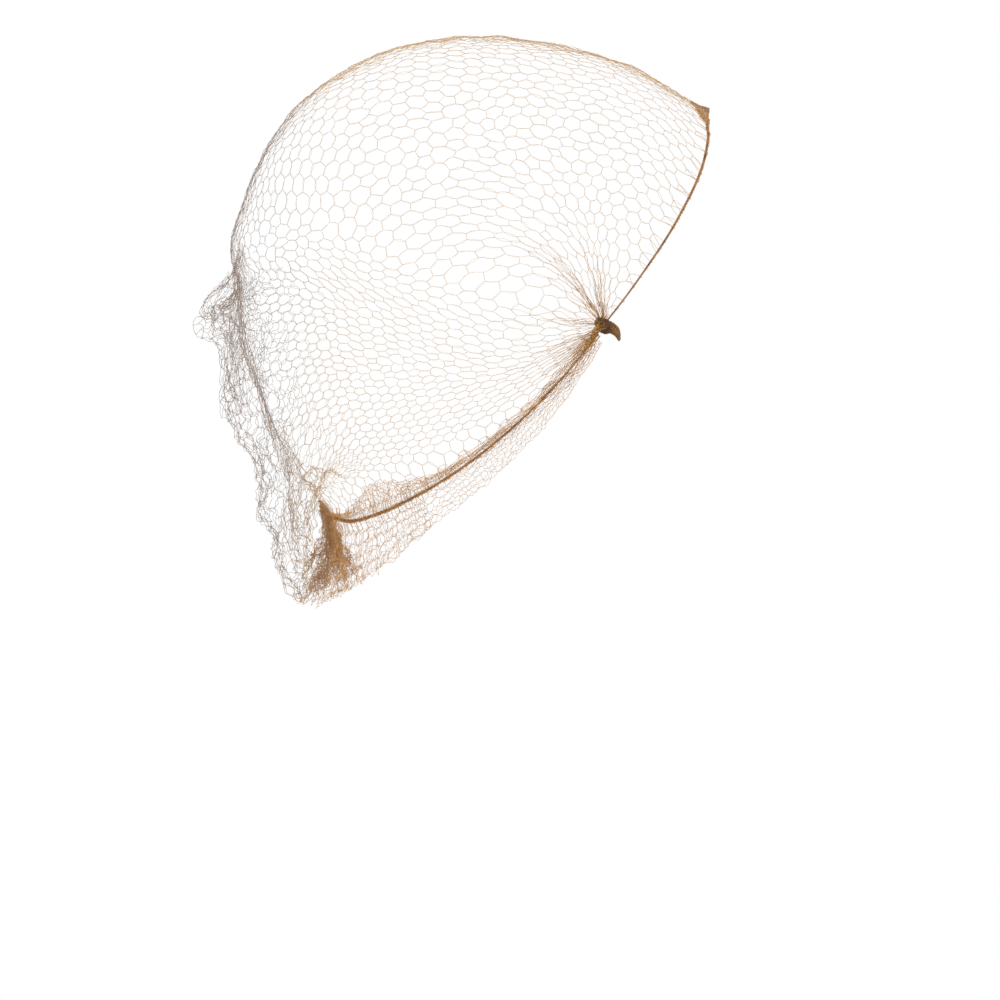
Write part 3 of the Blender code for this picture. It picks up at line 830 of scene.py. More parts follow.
near = np.minimum(cells[:, 1], 2 - cells[:, 1])
head_places = read_grid(head_grid, cells[:, 0], cells[:, 1])
full_places = read_grid(sheet_grid, cells[:, 0], cells[:, 1])
off_head = unit(head_places - np.array([CRANIUM_X, 0, CRANIUM_Z]))
for name, least, greatest, off, (first, last, nearest), seed in INNER_LAYERS:
    ragged = INNER_RAGGED * drift(head_places, 15, seed)
    down = cells[:, 0] + ragged / 2
    inside = (near + ragged > nearest) & (down > first) & (down < last)
    out = INNER_OUT[0] + INNER_OUT[1] * drift(head_places, 22, seed + 1)
    out = np.clip(least + (greatest - least) * out, 0, 1)[:, None]
    places = head_places + (full_places - head_places) * out
    places = places + off_head * (off * (1 + INNER_UNEVEN * drift(head_places, 9, seed + 2)))[:, None]
    kept = cell_pairs[inside[cell_pairs].all(1)]
    shapes = net_shapes(places, off_head, kept, np.full(len(cells), INNER_LOOSE), seed)
    spun_object(name, shapes, "netting_thread", "net")

# %% [markdown]
# ## The line that each elastic follows
# Each hem runs from knot to knot, one over the forehead and one round the nape. The cord lies on top of
# the netting, so its middle has a set distance from the head. The same line carries the loops of the
# hem, the frill at the nape and the small lip over the forehead, and this cell gives any place on it,
# with the direction straight off the head.

# %% A hem's points, and the two directions that go with them
GATHER_RING = 3.6  # the hems start this far from the middle of a knot
HEM_POINTS = 300  # from knot to midline
HEM_STEP = 0.2  # millimetres to either side, for the direction of a hem
ELASTIC_OFF = 1.7
ELASTIC_OFF_AT_MIDDLE = 0.6
MIDDLE_OF_HEM = (0.94, 0.99)  # where the one distance turns into the other
SHAPE_STEP = 0.05


def cord_off(share):
    """How far the cord's middle lies off the head, which is less over the middle of each hem."""
    return taut_to_loose(ELASTIC_OFF, ELASTIC_OFF_AT_MIDDLE, ramp(share, *MIDDLE_OF_HEM))[:, None]


def head_normals(points):
    """Directions straight off the head at points of its surface, from the slope of its shape function."""

    def shape(p):
        ratio = outline_share(p[..., 0], p[..., 2]) ** HEAD_SQUARENESS
        return ratio + (np.abs(p[..., 1]) / HEAD_HALF_WIDTH) ** HEAD_SQUARENESS

    steps = SHAPE_STEP * np.eye(3)
    slopes = [shape(points + step) - shape(points - step) for step in steps]
    return unit(np.stack(slopes, -1))


def whole_hem(hem):
    """Points of a hem from knot to knot, distances along it, and shares of the way to the midline."""
    share = np.sin(np.linspace(0, math.pi / 2, HEM_POINTS))
    half = head_point(share, smooth_table(share, hem))
    whole = np.concatenate([half, half[-2::-1] * [1, -1, 1]])
    return whole, lengths_along(whole), np.concatenate([share, share[-2::-1]])


def hem_line(hem, places):
    """Points along a hem from right knot (0) to left (1), directions off the head and away from the net."""
    whole, along, shares = whole_hem(hem)
    at = GATHER_RING + (along[-1] - 2 * GATHER_RING) * np.asarray(places)

    def at_places(more):
        return np.stack([np.interp(at + more, along, whole[:, k]) for k in range(3)], -1)

    line, back, ahead = at_places(0), at_places(-HEM_STEP), at_places(HEM_STEP)
    normals = head_normals(line)
    away = np.cross(unit(ahead - back), normals) * (1 if hem is FRONT_HEM else -1)
    return line, normals, unit(away), np.interp(at, along, shares)


def hem_places(hem, over):
    """Where along a hem the sheet's lines of these `over` values end."""
    length = whole_hem(hem)[1][-1]
    return (np.asarray(over) / 2 * length - GATHER_RING) / (length - 2 * GATHER_RING)


for word, hem in (("front", FRONT_HEM), ("nape", NAPE_HEM)):
    line, normals, away, _ = hem_line(hem, np.linspace(0, 1, 101))
    length = lengths_along(line)[-1]
    print(f"{word} hem: {length:.0f} mm, away from the net at its middle: {away[50].round(2)}")

# %% [markdown]
# ## The elastic cords
# Each elastic is a rubber core with brown thread wound round it, a millimetre thick in all. A tube for
# the core and a few thin tubes that wind round it give real ridges, which catch the light from every
# side. The cord is thinner beside the knots, where it is stretched most, and both ends run on into
# them, tied in with the netting.

# %% Core and windings of the elastics
CORE_RADIUS = 0.36
WINDINGS = 3
WINDING_RADIUS = 0.19
WINDING_PITCH = 4.2  # millimetres of cord for one turn of a winding
POINTS_PER_TURN = 9
CORE_EVERY = 3  # the core has fewer points than the windings
INTO_KNOT = 0.006  # of a hem's length
THIN_AT_KNOT = 0.62  # how thick the stretched cord is beside a knot, against its middle
THICK_FROM = 0.9  # share of the way to the midline


def wound(line, normals, away, turns, phase, radius):
    """A path that winds round a line at this radius."""
    angle = (turns * math.tau + phase)[:, None]
    return line + radius[:, None] * (np.cos(angle) * normals + np.sin(angle) * away)


def elastic(name, hem, node):
    """A cord that follows a hem from knot to knot."""
    length = whole_hem(hem)[1][-1]
    count = int(length / WINDING_PITCH * POINTS_PER_TURN)
    line, normals, away, share = hem_line(hem, np.linspace(-INTO_KNOT, 1 + INTO_KNOT, count))
    line = line + normals * cord_off(share)
    turns = lengths_along(line) / WINDING_PITCH
    thick = taut_to_loose(THIN_AT_KNOT, 1, ramp(share, 0, THICK_FROM))
    fewer = slice(None, None, CORE_EVERY)
    core = tubes(line[None, fewer], CORE_RADIUS * thick[None, fewer], normals[None, fewer], 8)
    phases = [k * math.tau / WINDINGS for k in range(WINDINGS)]
    paths = [wound(line, normals, away, turns, phase, CORE_RADIUS * thick) for phase in phases]
    windings = tubes(paths, WINDING_RADIUS * thick[None], normals[None], 5)
    spun_object(name, [core, windings], "elastic_cover", node)


elastic("front_elastic_cord", FRONT_HEM, "front_elastic")
elastic("nape_elastic_cord", NAPE_HEM, "nape_elastic")

# %% [markdown]
# ## Loops that carry the cord
# The edge of the netting is looped round the elastic. From each crossing nearest to a hem, one or two
# threads run to the cord, wrap round most of it and lie against it. Each path is the same short list of
# places: the crossing, a point half-way to the cord, and then points on a circle round it.

# %% Hem loops
LOOP_RADIUS = 0.62
LOOP_POINTS = 8
LOOP_STARTS = math.pi + 0.5  # radians, on the side towards the net
LOOP_TURN = 4.6  # radians round the cord
LOOP_TIGHTNESS = (0.9, 1.4)  # of the radius
LOOP_SLIP = (0.2, 0.9)  # millimetres along the cord
LOOP_SHIFT = 1.1  # of half the way to the next loop, at most
BESIDE_CORD = (1.5, 0.3)  # how far beside the cord a thread aims at first, and how far it rises on the way
LOOP_THREAD = 0.075  # radius


def hem_loops(hem, starts, places, random, radius):
    """Threads from points beside a hem to the cord, each wrapped round it."""
    line, normals, away, share = hem_line(hem, places)
    middle = line + normals * cord_off(share)
    reach_round = (LOOP_RADIUS * random.uniform(*LOOP_TIGHTNESS, len(places)))[:, None]
    slip = random.uniform(*LOOP_SLIP, len(places))[:, None] * np.cross(away, normals)
    path = [starts, (starts + middle - away * BESIDE_CORD[0]) / 2 + normals * BESIDE_CORD[1]]
    for k in range(LOOP_POINTS):
        part = k / (LOOP_POINTS - 1)
        angle = LOOP_STARTS + part * LOOP_TURN
        beside = math.cos(angle) * away - math.sin(angle) * normals
        path.append(middle + reach_round * beside + slip * part)
    return tubes(np.stack(path, 1), radius, normals[:, None])


ends = cell_edges[0]
random = np.random.default_rng(21)
loops = []
for hem, nearest in ((FRONT_HEM, ends[:, 0]), (NAPE_HEM, ends[:, 1])):
    over = cells[nearest, 1] if hem is FRONT_HEM else evened(cells[nearest, 1])
    half_way = np.gradient(over) / 2
    for _ in range(1 if hem is FRONT_HEM else 2):
        shift = random.uniform(-LOOP_SHIFT, LOOP_SHIFT, len(over)) * half_way
        places = np.clip(hem_places(hem, over + shift), 0, 1)
        loops.append(hem_loops(hem, crossings[nearest], places, random, LOOP_THREAD))
spun_object("hem_loops", loops, "gathered_thread", "net")

# %% [markdown]
# ## Ruffles at the nape
# Past the nape elastic the netting goes on as a frill. More netting was gathered onto the cord than its
# length, so the frill stands in waves, small beside the ears and deep behind the neck. The same cells
# are used again, on a strip whose long side is the hem. Behind the neck, two layers with waves out of
# step make it as dense as doubled netting.

# %% The frill's form, and netting laid on it
FRILL_SECTIONS = (  # share of the way from knot to midline, start_mm past the hem, width_mm, ruffle / width
    (0.0, 0.5, 3.0, 0.20),
    (0.2, 0.6, 6.5, 0.24),
    (0.46, 0.7, 10.0, 0.28),
    (0.75, 1.1, 15.0, 0.34),
    (0.88, 1.4, 21.0, 0.44),
    (1.0, 1.6, 29.0, 0.50),
)
FRILL_WAVES = 9
FRILL_WAVE_AT_NAPE = 0.62  # waves to a length of hem behind the neck, against the average
FRILL_THREAD = 0.1  # radius of its loops
FRILL_UNEVEN = 0.004  # how far its loops stray, as a part of the hem
FRILL_DROOP = 1.2
FRILL_PHASE = 0.8
FRILL_FLARE = 1.3
FRILL_OFF = 0.9
FRILL_CRUMPLE = (0.25, 0.9)  # millimetres at the hem, and how much more at the edge behind the neck
FRILL_SLIP = 1.3
FRILL_LOOSE = (0.15, 0.45)  # at a knot, and how much more at the midline


def on_hem(along):
    """Where on the hem (0 to 1) a place along the frill is held; its waves are longest behind the neck."""
    at = np.linspace(-1, 1, 400)
    held = at * (FRILL_WAVE_AT_NAPE + (1 - FRILL_WAVE_AT_NAPE) * at**2)
    return (np.interp(2 * along - 1, held, at) + 1) / 2


def frill_laid(along, out, phase, seed):
    """Points, normals and looseness of the frill at places along it (0 to 1) and across its width."""
    line, normals, away, share = hem_line(NAPE_HEM, on_hem(along))
    hang = unit(away + np.array([0, 0, -FRILL_DROOP]) * (share**2)[:, None])
    table = np.array(FRILL_SECTIONS)
    start, width, ruffle = (smooth_table(share, table[:, [0, k]]) for k in (1, 2, 3))
    wave = 0.5 + 0.5 * np.sin(math.tau * FRILL_WAVES * (2 * along - 1) + FRILL_PHASE + phase)
    lift = width * ruffle * wave * out**FRILL_FLARE
    points = line + hang * (start + (width - start) * out)[:, None] + normals * (lift + FRILL_OFF)[:, None]
    crumple = FRILL_CRUMPLE[0] + FRILL_CRUMPLE[1] * out * share
    points = points + normals * (crumple * (0.6 + drift(points, 9, seed)))[:, None]
    points = points + hang * (crumple * drift(points, 7, seed + 1))[:, None]
    slip = crumple * FRILL_SLIP * drift(points, 6, seed + 2)
    points = points + np.cross(away, normals) * slip[:, None]
    return points, normals, FRILL_LOOSE[0] + FRILL_LOOSE[1] * share


def strip_netting(out_rows, counts, seed):
    """Cells on a strip: crossings as (along, out), threads, and the crossings beside its first row."""
    places, pairs, edges = stitched(seed_rows(np.array(out_rows), counts, np.random.default_rng(seed)))
    return places, pairs, edges[1]


FRILL_LAYERS = (  # name, how far out of step in radians, part of the hem, cells at hem and at edge, seed
    ("outer_frill", 0.0, (0.0, 1.0), 70, 90, 31),
    ("inner_frill", 2.1, (0.33, 0.67), 40, 54, 37),
)
FRILL_ROWS = 6
for name, phase, (low, high), at_hem, at_edge, seed in FRILL_LAYERS:
    out_rows = np.linspace(0.04, 1.0, FRILL_ROWS)
    counts = np.linspace(at_hem, at_edge, len(out_rows)).round().astype(int)
    places, pairs, first = strip_netting(out_rows, counts, seed)
    places[:, 0] = low + (high - low) * places[:, 0]
    points, normals, loose = frill_laid(places[:, 0], np.clip(places[:, 1], 0, 1.1), phase, seed)
    shapes = net_shapes(points, normals, pairs, loose, seed)
    held = on_hem(places[first, 0]) + random.uniform(-FRILL_UNEVEN, FRILL_UNEVEN, len(first))
    shapes.append(hem_loops(NAPE_HEM, points[first], np.clip(held, 0, 1), random, FRILL_THREAD))
    spun_object(name, shapes, "gathered_thread", "nape_frill")

# %% [markdown]
# ## Netting drawn up along the nape elastic
# Above the nape elastic the netting is pulled into a band of small gathers. It is widest where the
# slack of the pouch is taken up, behind the ear, and narrow where the cord lies taut. The strip recipe
# makes this band too, with more cells along it than its length would hold flat, and with its rows
# crowded at the outer edge, where it folds.

# %% The gathered band
BAND_SECTIONS = (  # share of the way from knot to midline, width_mm
    (0.0, 1.6),
    (0.15, 2.2),
    (0.3, 2.4),
    (0.55, 2.2),
    (0.66, 3.4),
    (0.76, 7.5),
    (0.84, 10.4),
    (0.91, 7.0),
    (0.96, 2.6),
    (1.0, 1.8),
)
BAND_STARTS = 0.4  # millimetres from the middle of the cord
BAND_OFF = 0.6
BAND_CREASE = 1.3
BAND_LOOSE = 0.2
BAND_DRIFT = (0.16, 0.20)  # of its width: how far crossings drift across it and along it
BAND_LAYERS = (  # name, rows, cells along the hem, part of the hem, seed
    ("band_gathers", 5, 84, (0.14, 0.86), 41),
    ("band_gathers_below", 4, 62, (0.20, 0.80), 47),
)


def band_laid(along, out, seed):
    """Points, normals and looseness of the gathers above the nape elastic."""
    line, normals, away, share = hem_line(NAPE_HEM, along)
    width = smooth_table(share, BAND_SECTIONS)
    points = line - away * (BAND_STARTS + width * out)[:, None]
    points = points + away * (BAND_DRIFT[0] * width * out * drift(points, 11, seed))[:, None]
    slip = np.cross(away, normals)
    points = points + slip * (BAND_DRIFT[1] * width * out * drift(points, 9, seed + 2))[:, None]
    crease = np.abs(drift(points, 5, seed + 1)) * BAND_CREASE * (0.3 + out)
    return points + normals * (BAND_OFF + crease)[:, None], normals, np.full(len(points), BAND_LOOSE)


for name, rows, count, (low, high), seed in BAND_LAYERS:
    out_rows = np.linspace(0.05, 1.0, rows) ** 0.6
    places, pairs, first = strip_netting(out_rows, [count] * rows, seed)
    places[:, 0] = low + (high - low) * places[:, 0]
    points, normals, loose = band_laid(places[:, 0], np.clip(places[:, 1], 0, 1.1), seed)
    shapes = net_shapes(points, normals, pairs, loose, seed)
    shapes.append(hem_loops(NAPE_HEM, points[first], places[first, 0], random, LOOP_THREAD))
    spun_object(name, shapes, "gathered_thread", "net")

# %% [markdown]
# ## The lip over the forehead
# Over the middle of the forehead a little netting is bunched round the front elastic and stands up from
# it. From the side it shows as a small dense corner at the front end of the net. A profile gives its
# form: it climbs from the crown to a sharp crest just behind the cord and falls steeply in front of it.

# %% The front lip
LIP_PLACES = (0.44, 0.56)  # of the hem's length
LIP_PROFILE = (  # along the strip, distance past the cord and height off the head, in millimetres
    (0.0, -9.5, 0.0),
    (0.35, -7.0, 0.8),
    (0.6, -5.0, 2.4),
    (0.8, -3.1, 3.5),
    (1.0, -0.3, 0.8),
)
LIP_CELLS = 34
LIP_ROWS = 9
LIP_SEEDS = (53, 57)  # one for each of its two layers
LIP_OFF = 0.3
LIP_UNEVEN = 0.15
LIP_LOOSE = 0.4


def lip_laid(along, out, seed):
    """Points, normals and looseness of the netting bunched round the front elastic."""
    low, high = LIP_PLACES
    line, normals, away, _ = hem_line(FRONT_HEM, low + (high - low) * along)
    full = np.sin(math.pi * np.clip(along, 0, 1)) ** 0.5
    past, height = (np.interp(out, *np.array(LIP_PROFILE).T[[0, k]]) for k in (1, 2))
    points = line + away * (past * full + 0.4 * drift(line, 6, seed + 1))[:, None]
    height = LIP_OFF + height * full * (1 - LIP_UNEVEN + LIP_UNEVEN * drift(points, 5, seed))
    return points + normals * height[:, None], normals, np.full(len(out), LIP_LOOSE)


shapes = []
for seed in LIP_SEEDS:
    places, pairs, _ = strip_netting(np.linspace(0.0, 1.0, LIP_ROWS), [LIP_CELLS] * LIP_ROWS, seed)
    points, normals, loose = lip_laid(places[:, 0], places[:, 1], seed)
    shapes += net_shapes(points, normals, pairs, loose, seed)
spun_object("front_lip", shapes, "bunched_thread", "net")

# %% [markdown]
# ## The knots' own frame
# Each end of the netting is drawn together, bound round and cut off. What happens there is easier to
# give in a small frame of its own: forward and up along the side of the head, and out from it. The left
# knot is the right one's mirror image, so its paths are made in the right one's frame and their y is
# turned over.

# %% Places beside a knot
knot_foot = head_point(np.array([0.0]), np.array([FRONT_HEM[0][1]]))
KNOT_OUT = head_normals(knot_foot)[0]
KNOT_FORWARD = unit(np.array([1.0, 0, 0]) - KNOT_OUT * KNOT_OUT[0])
KNOT_UP = np.cross(KNOT_OUT, KNOT_FORWARD)
SIDES = (("right", 1), ("left", -1))


def at_knot(forward, up, out, mirror):
    """Points from their places in a knot's frame, in millimetres."""
    place = knot_foot[0] + forward[..., None] * KNOT_FORWARD + up[..., None] * KNOT_UP
    return (place + out[..., None] * KNOT_OUT) * [1, mirror, 1]


print("straight out from the right knot:", KNOT_OUT.round(2))

# %% [markdown]
# ## Threads that run into the knots
# The last cells before a knot are pulled so narrow that only long wavy threads show. Each one below
# ends at a crossing of the netting, follows the folds, rises off the head and goes into the binding.
# Most of them lie in the folds over the temple and beside the nape elastic, and short ones are commoner
# than long ones. The crossings of the first row have a thread each, so that no cell ends in the air.

# %% Drawn threads
DRAWN_THREADS = 92
DRAWN_POINTS = 16
DRAWN_FROM = 0.026  # where they leave the knot, as a part of the way to the midline
DRAWN_LONGEST = 0.30
DRAWN_SHORTENING = 2.4  # the more, the commoner short threads are
DRAWN_SHARE = (  # place from hem to hem, how many of the threads there are drawn
    (0.0, 0.05),
    (0.10, 0.4),
    (0.20, 1.0),
    (0.27, 0.35),
    (0.38, 0.9),
    (0.47, 0.25),
    (0.68, 0.20),
    (0.82, 0.35),
    (1.0, 0.6),
)
DRAWN_WAVE = 0.015
DRAWN_WAVES = (50, 130)  # radians for the whole way to the midline
DRAWN_RADIUS = 0.07
TAPER = 0.35  # how much thinner a drawn thread is at its far end
DRAWN_CLIMB = 2.5  # how far they rise off the head at the knot, in millimetres
DRAWN_UNEVEN = 0.7  # how much farther some of them rise
CLIMB_FROM = DRAWN_FROM + 0.05
DRAWN_ENDS = (1.3, -1.2, (1.4, 5.0))  # in the knot: radius of their ring, its place forward, heights


def drawn_threads(mirror, seed):
    """Threads from the gathers into one of the knots."""
    random = np.random.default_rng(seed)
    near = cells[:, 1]
    likely = np.clip(1 - near / DRAWN_LONGEST, 0, 1) ** DRAWN_SHORTENING
    likely = likely * np.interp(cells[:, 0], *np.array(DRAWN_SHARE).T)
    ends = random.choice(len(cells), DRAWN_THREADS, replace=False, p=likely / likely.sum())
    ends = np.concatenate([ends, cell_edges[1]])
    count = (len(ends), 1)
    part = np.linspace(0, 1, DRAWN_POINTS)
    near = DRAWN_FROM + (near[ends, None] - DRAWN_FROM) * part**1.2
    wander = np.sin(random.uniform(0, math.tau, count) + random.uniform(*DRAWN_WAVES, count) * near)
    down = np.clip(cells[ends, 0][:, None] + DRAWN_WAVE * wander * (1 - part**3), 0, 1)
    places, normals, _ = laid(down, near)
    climb = DRAWN_CLIMB * ramp(near, CLIMB_FROM, DRAWN_FROM)
    climb = climb + random.uniform(0, DRAWN_UNEVEN, count) * (1 - part)
    places = (places + normals * climb[..., None]) * [1, mirror, 1]
    turn = random.uniform(0, math.tau, len(ends))
    ring, forward, heights = DRAWN_ENDS
    out = random.uniform(*heights, len(ends))
    inner = at_knot(ring * np.cos(turn) + forward, ring * np.sin(turn), out, mirror)
    paths = np.concatenate([inner[:, None], places], 1)
    radius = np.concatenate([[1.0], 1 - TAPER * part]) * DRAWN_RADIUS
    return tubes(paths, radius[None], normals[:, :1] * [1, mirror, 1])


both = [drawn_threads(mirror, 61) for _, mirror in SIDES]
spun_object("drawn_threads", both, "gathered_thread", "net")

# %% [markdown]
# ## The rope of netting beside the nape elastic
# From each knot a rope of gathered netting runs down beside the elastic, on both sides of it, and opens
# out behind the ear. It is made of long threads that follow the hem's line at their own distance from
# it, which grows along the way, and that waver as threads under little tension do.

# %% Threads along the nape elastic
ROPE_THREADS = 38
ROPE_POINTS = 56
ROPE_SHORTEST, ROPE_LONGEST = 0.03, 0.44  # of the hem's whole length
ROPE_SPREAD = 1.5  # usual distance from the cord, in millimetres
ROPE_MIDDLE = -0.3  # where the middle of the rope lies: a little on the net's side of the cord
ROPE_LIMITS = (-3.2, 2.6)
ROPE_HEIGHTS = (0.3, 1.6)
ROPE_CLIMB = 1.2  # how much higher it lies at the knot
ROPE_SHORTENING = 1.1  # the more, the commoner short threads are
ROPE_OPENS = 3.0
ROPE_WAVER = 0.7
ROPE_RADIUS = 0.068


def rope(mirror, seed):
    """The long threads beside one half of the nape elastic."""
    random = np.random.default_rng(seed)
    part = np.linspace(0, 1, ROPE_POINTS)
    longer = random.uniform(0, 1, (ROPE_THREADS, 1)) ** ROPE_SHORTENING
    length = ROPE_SHORTEST + (ROPE_LONGEST - ROPE_SHORTEST) * longer
    places = part * length
    line, normals, away, _ = hem_line(NAPE_HEM, places)
    beside = random.normal(ROPE_MIDDLE, ROPE_SPREAD, (ROPE_THREADS, 1)).clip(*ROPE_LIMITS)
    beside = beside * (0.5 + ramp(places, 0, 0.04) * (0.5 + ROPE_OPENS * places))
    beside = beside + ROPE_WAVER * drift(line + random.uniform(0, 90, (ROPE_THREADS, 1, 1)), 7, seed)
    height = random.uniform(*ROPE_HEIGHTS, (ROPE_THREADS, 1)) + ROPE_CLIMB * ramp(places, 0.03, 0)
    paths = (line + away * beside[..., None] + normals * height[..., None]) * [1, mirror, 1]
    return tubes(paths, (1 - TAPER * part)[None] * ROPE_RADIUS, normals[:, :1] * [1, mirror, 1])


both = [rope(mirror, 65) for _, mirror in SIDES]
spun_object("nape_rope", both, "gathered_thread", "net")

# %% [markdown]
# ## The knots
# A knot is a lump of wound netting about six millimetres across. A dark core fills it. Coarse turns of
# the gathered netting lie round the core side by side, each tilted a little, and fine threads cross
# over them. All of the turns circle the line along which the cut end leaves, as a rope's turns circle
# the rope.

# %% Turns of the knots
KNOT_HALF_LENGTH = 3.3
KNOT_HALF_WIDTH = 2.25
KNOT_HALF_HEIGHT = 2.0
KNOT_MIDDLE_OUT = 2.55
TAIL_ANGLE = -37.0
KNOT_TURNS = (  # how many, strand radius, how far outside the lump, tilt in radians
    (8, 0.46, -0.40, 0.30),
    (11, 0.30, -0.05, 0.75),
    (22, 0.12, 0.16, 1.1),
    (9, 0.07, 0.50, 1.4),
)
TURN_POINTS = 28
TURN_ROUNDS = 1.08  # a little more than once round
TURN_WOBBLE = 0.06
TURNS_REACH = 0.86  # of the knot's length
CORE_POINTS = 9
CORE_OF_KNOT = 1.6  # radius of the dark core


def along_tail(along, sideways, out, mirror):
    """Points from their places along and beside the line of the cut end."""
    cos, sin = math.cos(math.radians(TAIL_ANGLE)), math.sin(math.radians(TAIL_ANGLE))
    return at_knot(along * cos - sideways * sin, along * sin + sideways * cos, out, mirror)


def knot_turns(count, radius, outside, tilt, mirror, random):
    """Closed-looking turns round the knot: each starts and ends inside it."""
    part = np.linspace(0, 1, TURN_POINTS)
    angle = math.tau * part * TURN_ROUNDS
    start = random.uniform(0, math.tau, (count, 1))
    at = np.linspace(-TURNS_REACH, TURNS_REACH, count)[:, None] * KNOT_HALF_LENGTH
    lean = random.uniform(-tilt, tilt, (count, 1))
    wobble = TURN_WOBBLE * np.sin(3 * angle + start)
    place = at + lean * KNOT_HALF_WIDTH * np.sin(angle + start) * (1 - np.abs(at) / KNOT_HALF_LENGTH * 0.8)
    swell = np.sqrt(np.clip(1 - (place / (KNOT_HALF_LENGTH + 0.3)) ** 2, 0.05, 1)) + wobble
    sideways = (KNOT_HALF_WIDTH + outside) * swell * np.cos(angle + start)
    out = KNOT_MIDDLE_OUT + (KNOT_HALF_HEIGHT + outside) * swell * np.sin(angle + start)
    paths = along_tail(place, sideways, out, mirror)
    middle = along_tail(place, 0 * place, KNOT_MIDDLE_OUT + 0 * place, mirror)
    return tubes(paths, radius, unit(paths - middle), 5)


for number, (word, mirror) in enumerate(SIDES):
    random = np.random.default_rng(71 + number)
    shapes = [knot_turns(*row, mirror, random) for row in KNOT_TURNS]
    at = np.linspace(-1, 1, CORE_POINTS)
    core = along_tail(at * KNOT_HALF_LENGTH, 0 * at, KNOT_MIDDLE_OUT + 0 * at, mirror)[None]
    core_radius = CORE_OF_KNOT * np.sqrt(1.02 - at**2)
    shapes.append(tubes(core, core_radius[None], KNOT_OUT * [1, mirror, 1], 12))
    spun_object(word + "_knot_turns", shapes, "bound_thread", word + "_knot")

# %% [markdown]
# ## The cut ends
# Past each knot sticks out the cut end of the gathered netting: a short bundle of threads, bent down at
# its tip. Its sections are given by a table, and each thread keeps its own place in them. The threads
# end unevenly, as cut threads do.

# %% Bundles of cut threads
TAIL_SECTIONS = (  # along_mm from the knot's middle, sideways_mm, half_width_mm, half_depth_mm, height_mm
    (1.0, 1.1, 2.2, 1.3, 0.6),
    (3.0, 1.3, 2.3, 1.4, 0.2),
    (4.6, 1.5, 2.0, 1.4, 0.2),
    (5.8, 1.3, 1.6, 1.3, 0.3),
    (6.9, 0.8, 1.2, 1.1, 0.3),
    (7.8, 0.2, 0.8, 0.8, 0.2),
    (8.5, -0.2, 0.5, 0.6, 0.1),
)
TAIL_THREADS = 64
TAIL_THREAD_RADIUS = 0.2
TAIL_POINTS = 14
TAIL_LENGTHS = (0.84, 1.0)  # of the bundle's length
TAIL_TWIST = 0.5  # radians
TAIL_FILLED = 0.9  # of each section
HEAD_CLEARANCE = 0.4

for number, (word, mirror) in enumerate(SIDES):
    random = np.random.default_rng(81 + number)
    table = np.array(TAIL_SECTIONS)
    steps = np.linspace(0, 1, TAIL_POINTS) * random.uniform(*TAIL_LENGTHS, (TAIL_THREADS, 1))
    at = table[0, 0] + (table[-1, 0] - table[0, 0]) * steps
    sideways, wide, deep, height = (np.interp(at, table[:, 0], table[:, k]) for k in (1, 2, 3, 4))
    turn = random.uniform(0, math.tau, (TAIL_THREADS, 1)) + TAIL_TWIST * steps
    spread = np.sqrt(random.uniform(0.1, 1, (TAIL_THREADS, 1))) * TAIL_FILLED
    across = sideways + wide * spread * np.cos(turn)
    out = HEAD_CLEARANCE + height + deep * (1 + spread * np.sin(turn))
    paths = along_tail(at, across, out, mirror)
    shape = tubes(paths, TAIL_THREAD_RADIUS, KNOT_OUT * [1, mirror, 1], 4)
    spun_object(word + "_cut_end", [shape], "cut_thread", word + "_tail")

# %% [markdown]
# ## The bunch behind the neck
# At the middle of the nape the frill is bunched as well: strip on strip of netting hangs there, so
# dense that it looks like brown wool, and parts into lobes at its lower end. Each strip is a small
# piece of netting with its own lean, turn and crumple, hung from its own place on the elastic.

# %% Bunched strips of the frill
BUNCH_TOP = (-74.2, -69.0)  # x_mm, z_mm
BUNCH_LOBES = (  # x_mm and z_mm half-way down the lobe and at its tip, strips, width in millimetres
    (-70.8, -84.0, -77.0, -101.5, 10, 9.0),
    (-72.0, -82.0, -80.5, -92.0, 3, 5.0),
    (-69.0, -83.0, -64.8, -98.0, 6, 6.5),
    (-68.5, -82.0, -62.4, -92.5, 4, 7.0),
)
BUNCH_HALF_WIDTH = 15.0
BUNCH_ROWS = 18
BUNCH_CELLS = 5
BUNCH_CRUMPLE = 1.8
BUNCH_FINE_CRUMPLE = 0.6  # of the coarse one
BUNCH_RAGGED = 0.08
BUNCH_LOOSE = 0.7
TOP_SPREAD = (0.8, 2.0, 2.0)  # how far strips stray in x, y and z at the top, half-way down and at the tip
MIDDLE_SPREAD = (1.6, 1.0, 1.6)
TIP_SPREAD = (2.2, 3.0, 2.5)
STRIP_TURN = 0.9  # radians, at most

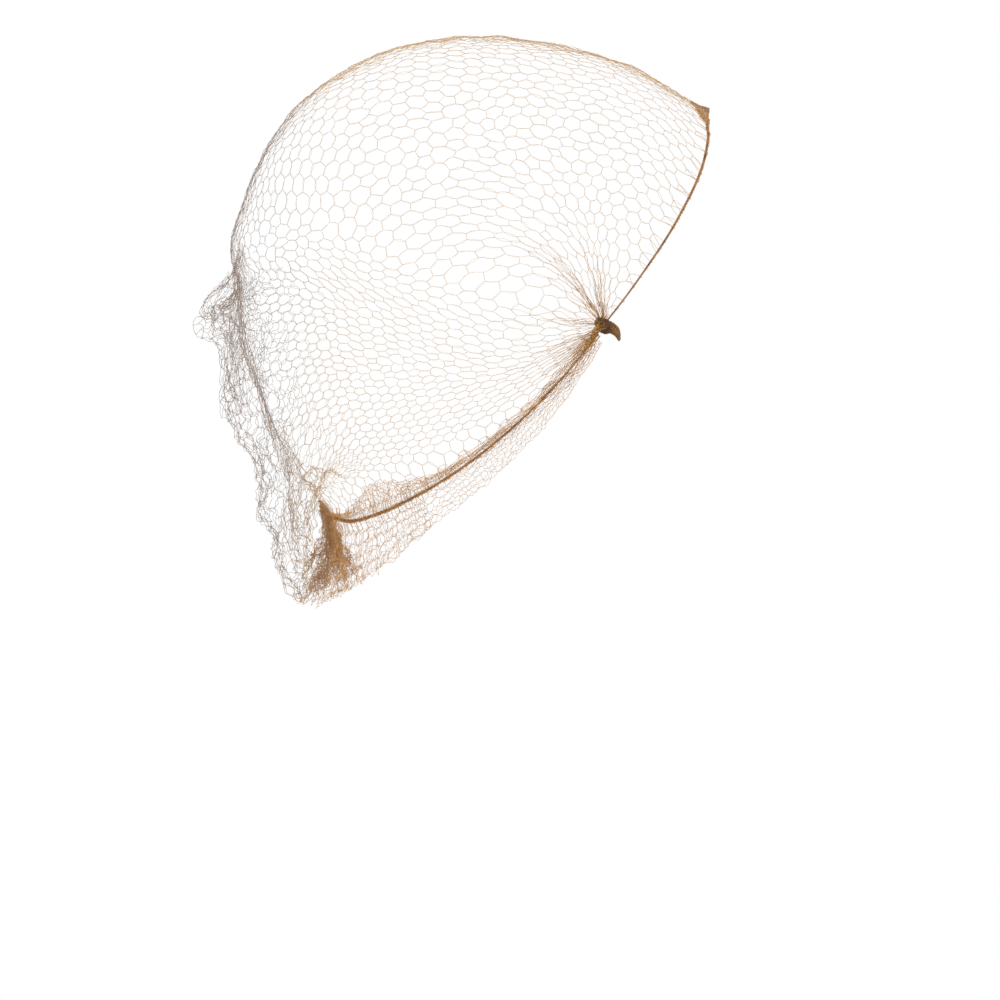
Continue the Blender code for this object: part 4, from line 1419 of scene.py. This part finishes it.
random = np.random.default_rng(91)
shapes = []
for middle_x, middle_z, tip_x, tip_z, strips, width in BUNCH_LOBES:
    for _ in range(strips):
        seed = int(random.integers(1000))
        places, pairs, _ = strip_netting(np.linspace(0, 1, BUNCH_ROWS), [BUNCH_CELLS] * BUNCH_ROWS, seed)
        across = places[:, 0] - 0.5
        hung = places[:, 1] * (1 + BUNCH_RAGGED * np.sin(7 * across + seed))
        y = np.clip(random.normal(0, 0.5), -1, 1) * BUNCH_HALF_WIDTH
        top = np.array([BUNCH_TOP[0], y * 0.45, BUNCH_TOP[1]]) + random.uniform(-1, 1, 3) * TOP_SPREAD
        tip = np.array([tip_x, y, tip_z]) + random.uniform(-1, 1, 3) * TIP_SPREAD
        middle = np.array([middle_x, y * 0.8, middle_z]) + random.uniform(-1, 1, 3) * MIDDLE_SPREAD
        bend = 2 * middle - (top + tip) / 2
        turn = random.uniform(-STRIP_TURN, STRIP_TURN)
        sideways = np.array([math.cos(turn), math.sin(turn), 0.15])
        spread = width * (0.12 + 0.88 * np.sin(math.pi * np.clip(hung * 0.72, 0, 1)))
        part = hung[:, None]
        points = top * (1 - part) ** 2 + bend * 2 * part * (1 - part) + tip * part**2
        points = points + sideways * (across * spread)[:, None]
        coarse, fine = (np.stack([drift(points, size, seed + k) for k in range(3)], -1) for size in (7, 3))
        crumple = coarse * [0.8, 1.0, 0.5] + fine * BUNCH_FINE_CRUMPLE
        points = points + crumple * (BUNCH_CRUMPLE * (0.3 + hung))[:, None]
        out = np.tile([-1.0, 0, 0], (len(points), 1))
        shapes += net_shapes(points, out, pairs, np.full(len(points), BUNCH_LOOSE), seed)
spun_object("nape_bunch", shapes, "bunched_thread", "nape_frill")

# %% [markdown]
# ## The net's size at the end
# A last look at the sizes: the threads have to fill the same box as the plain solids did. Both boxes
# are printed side by side.

# %% The two boxes, and the end
model_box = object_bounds()
for word, box in (("solids", cad_box), ("threads", model_box)):
    print(word, [[round(value / MM, 1) for value in corner] for corner in box])
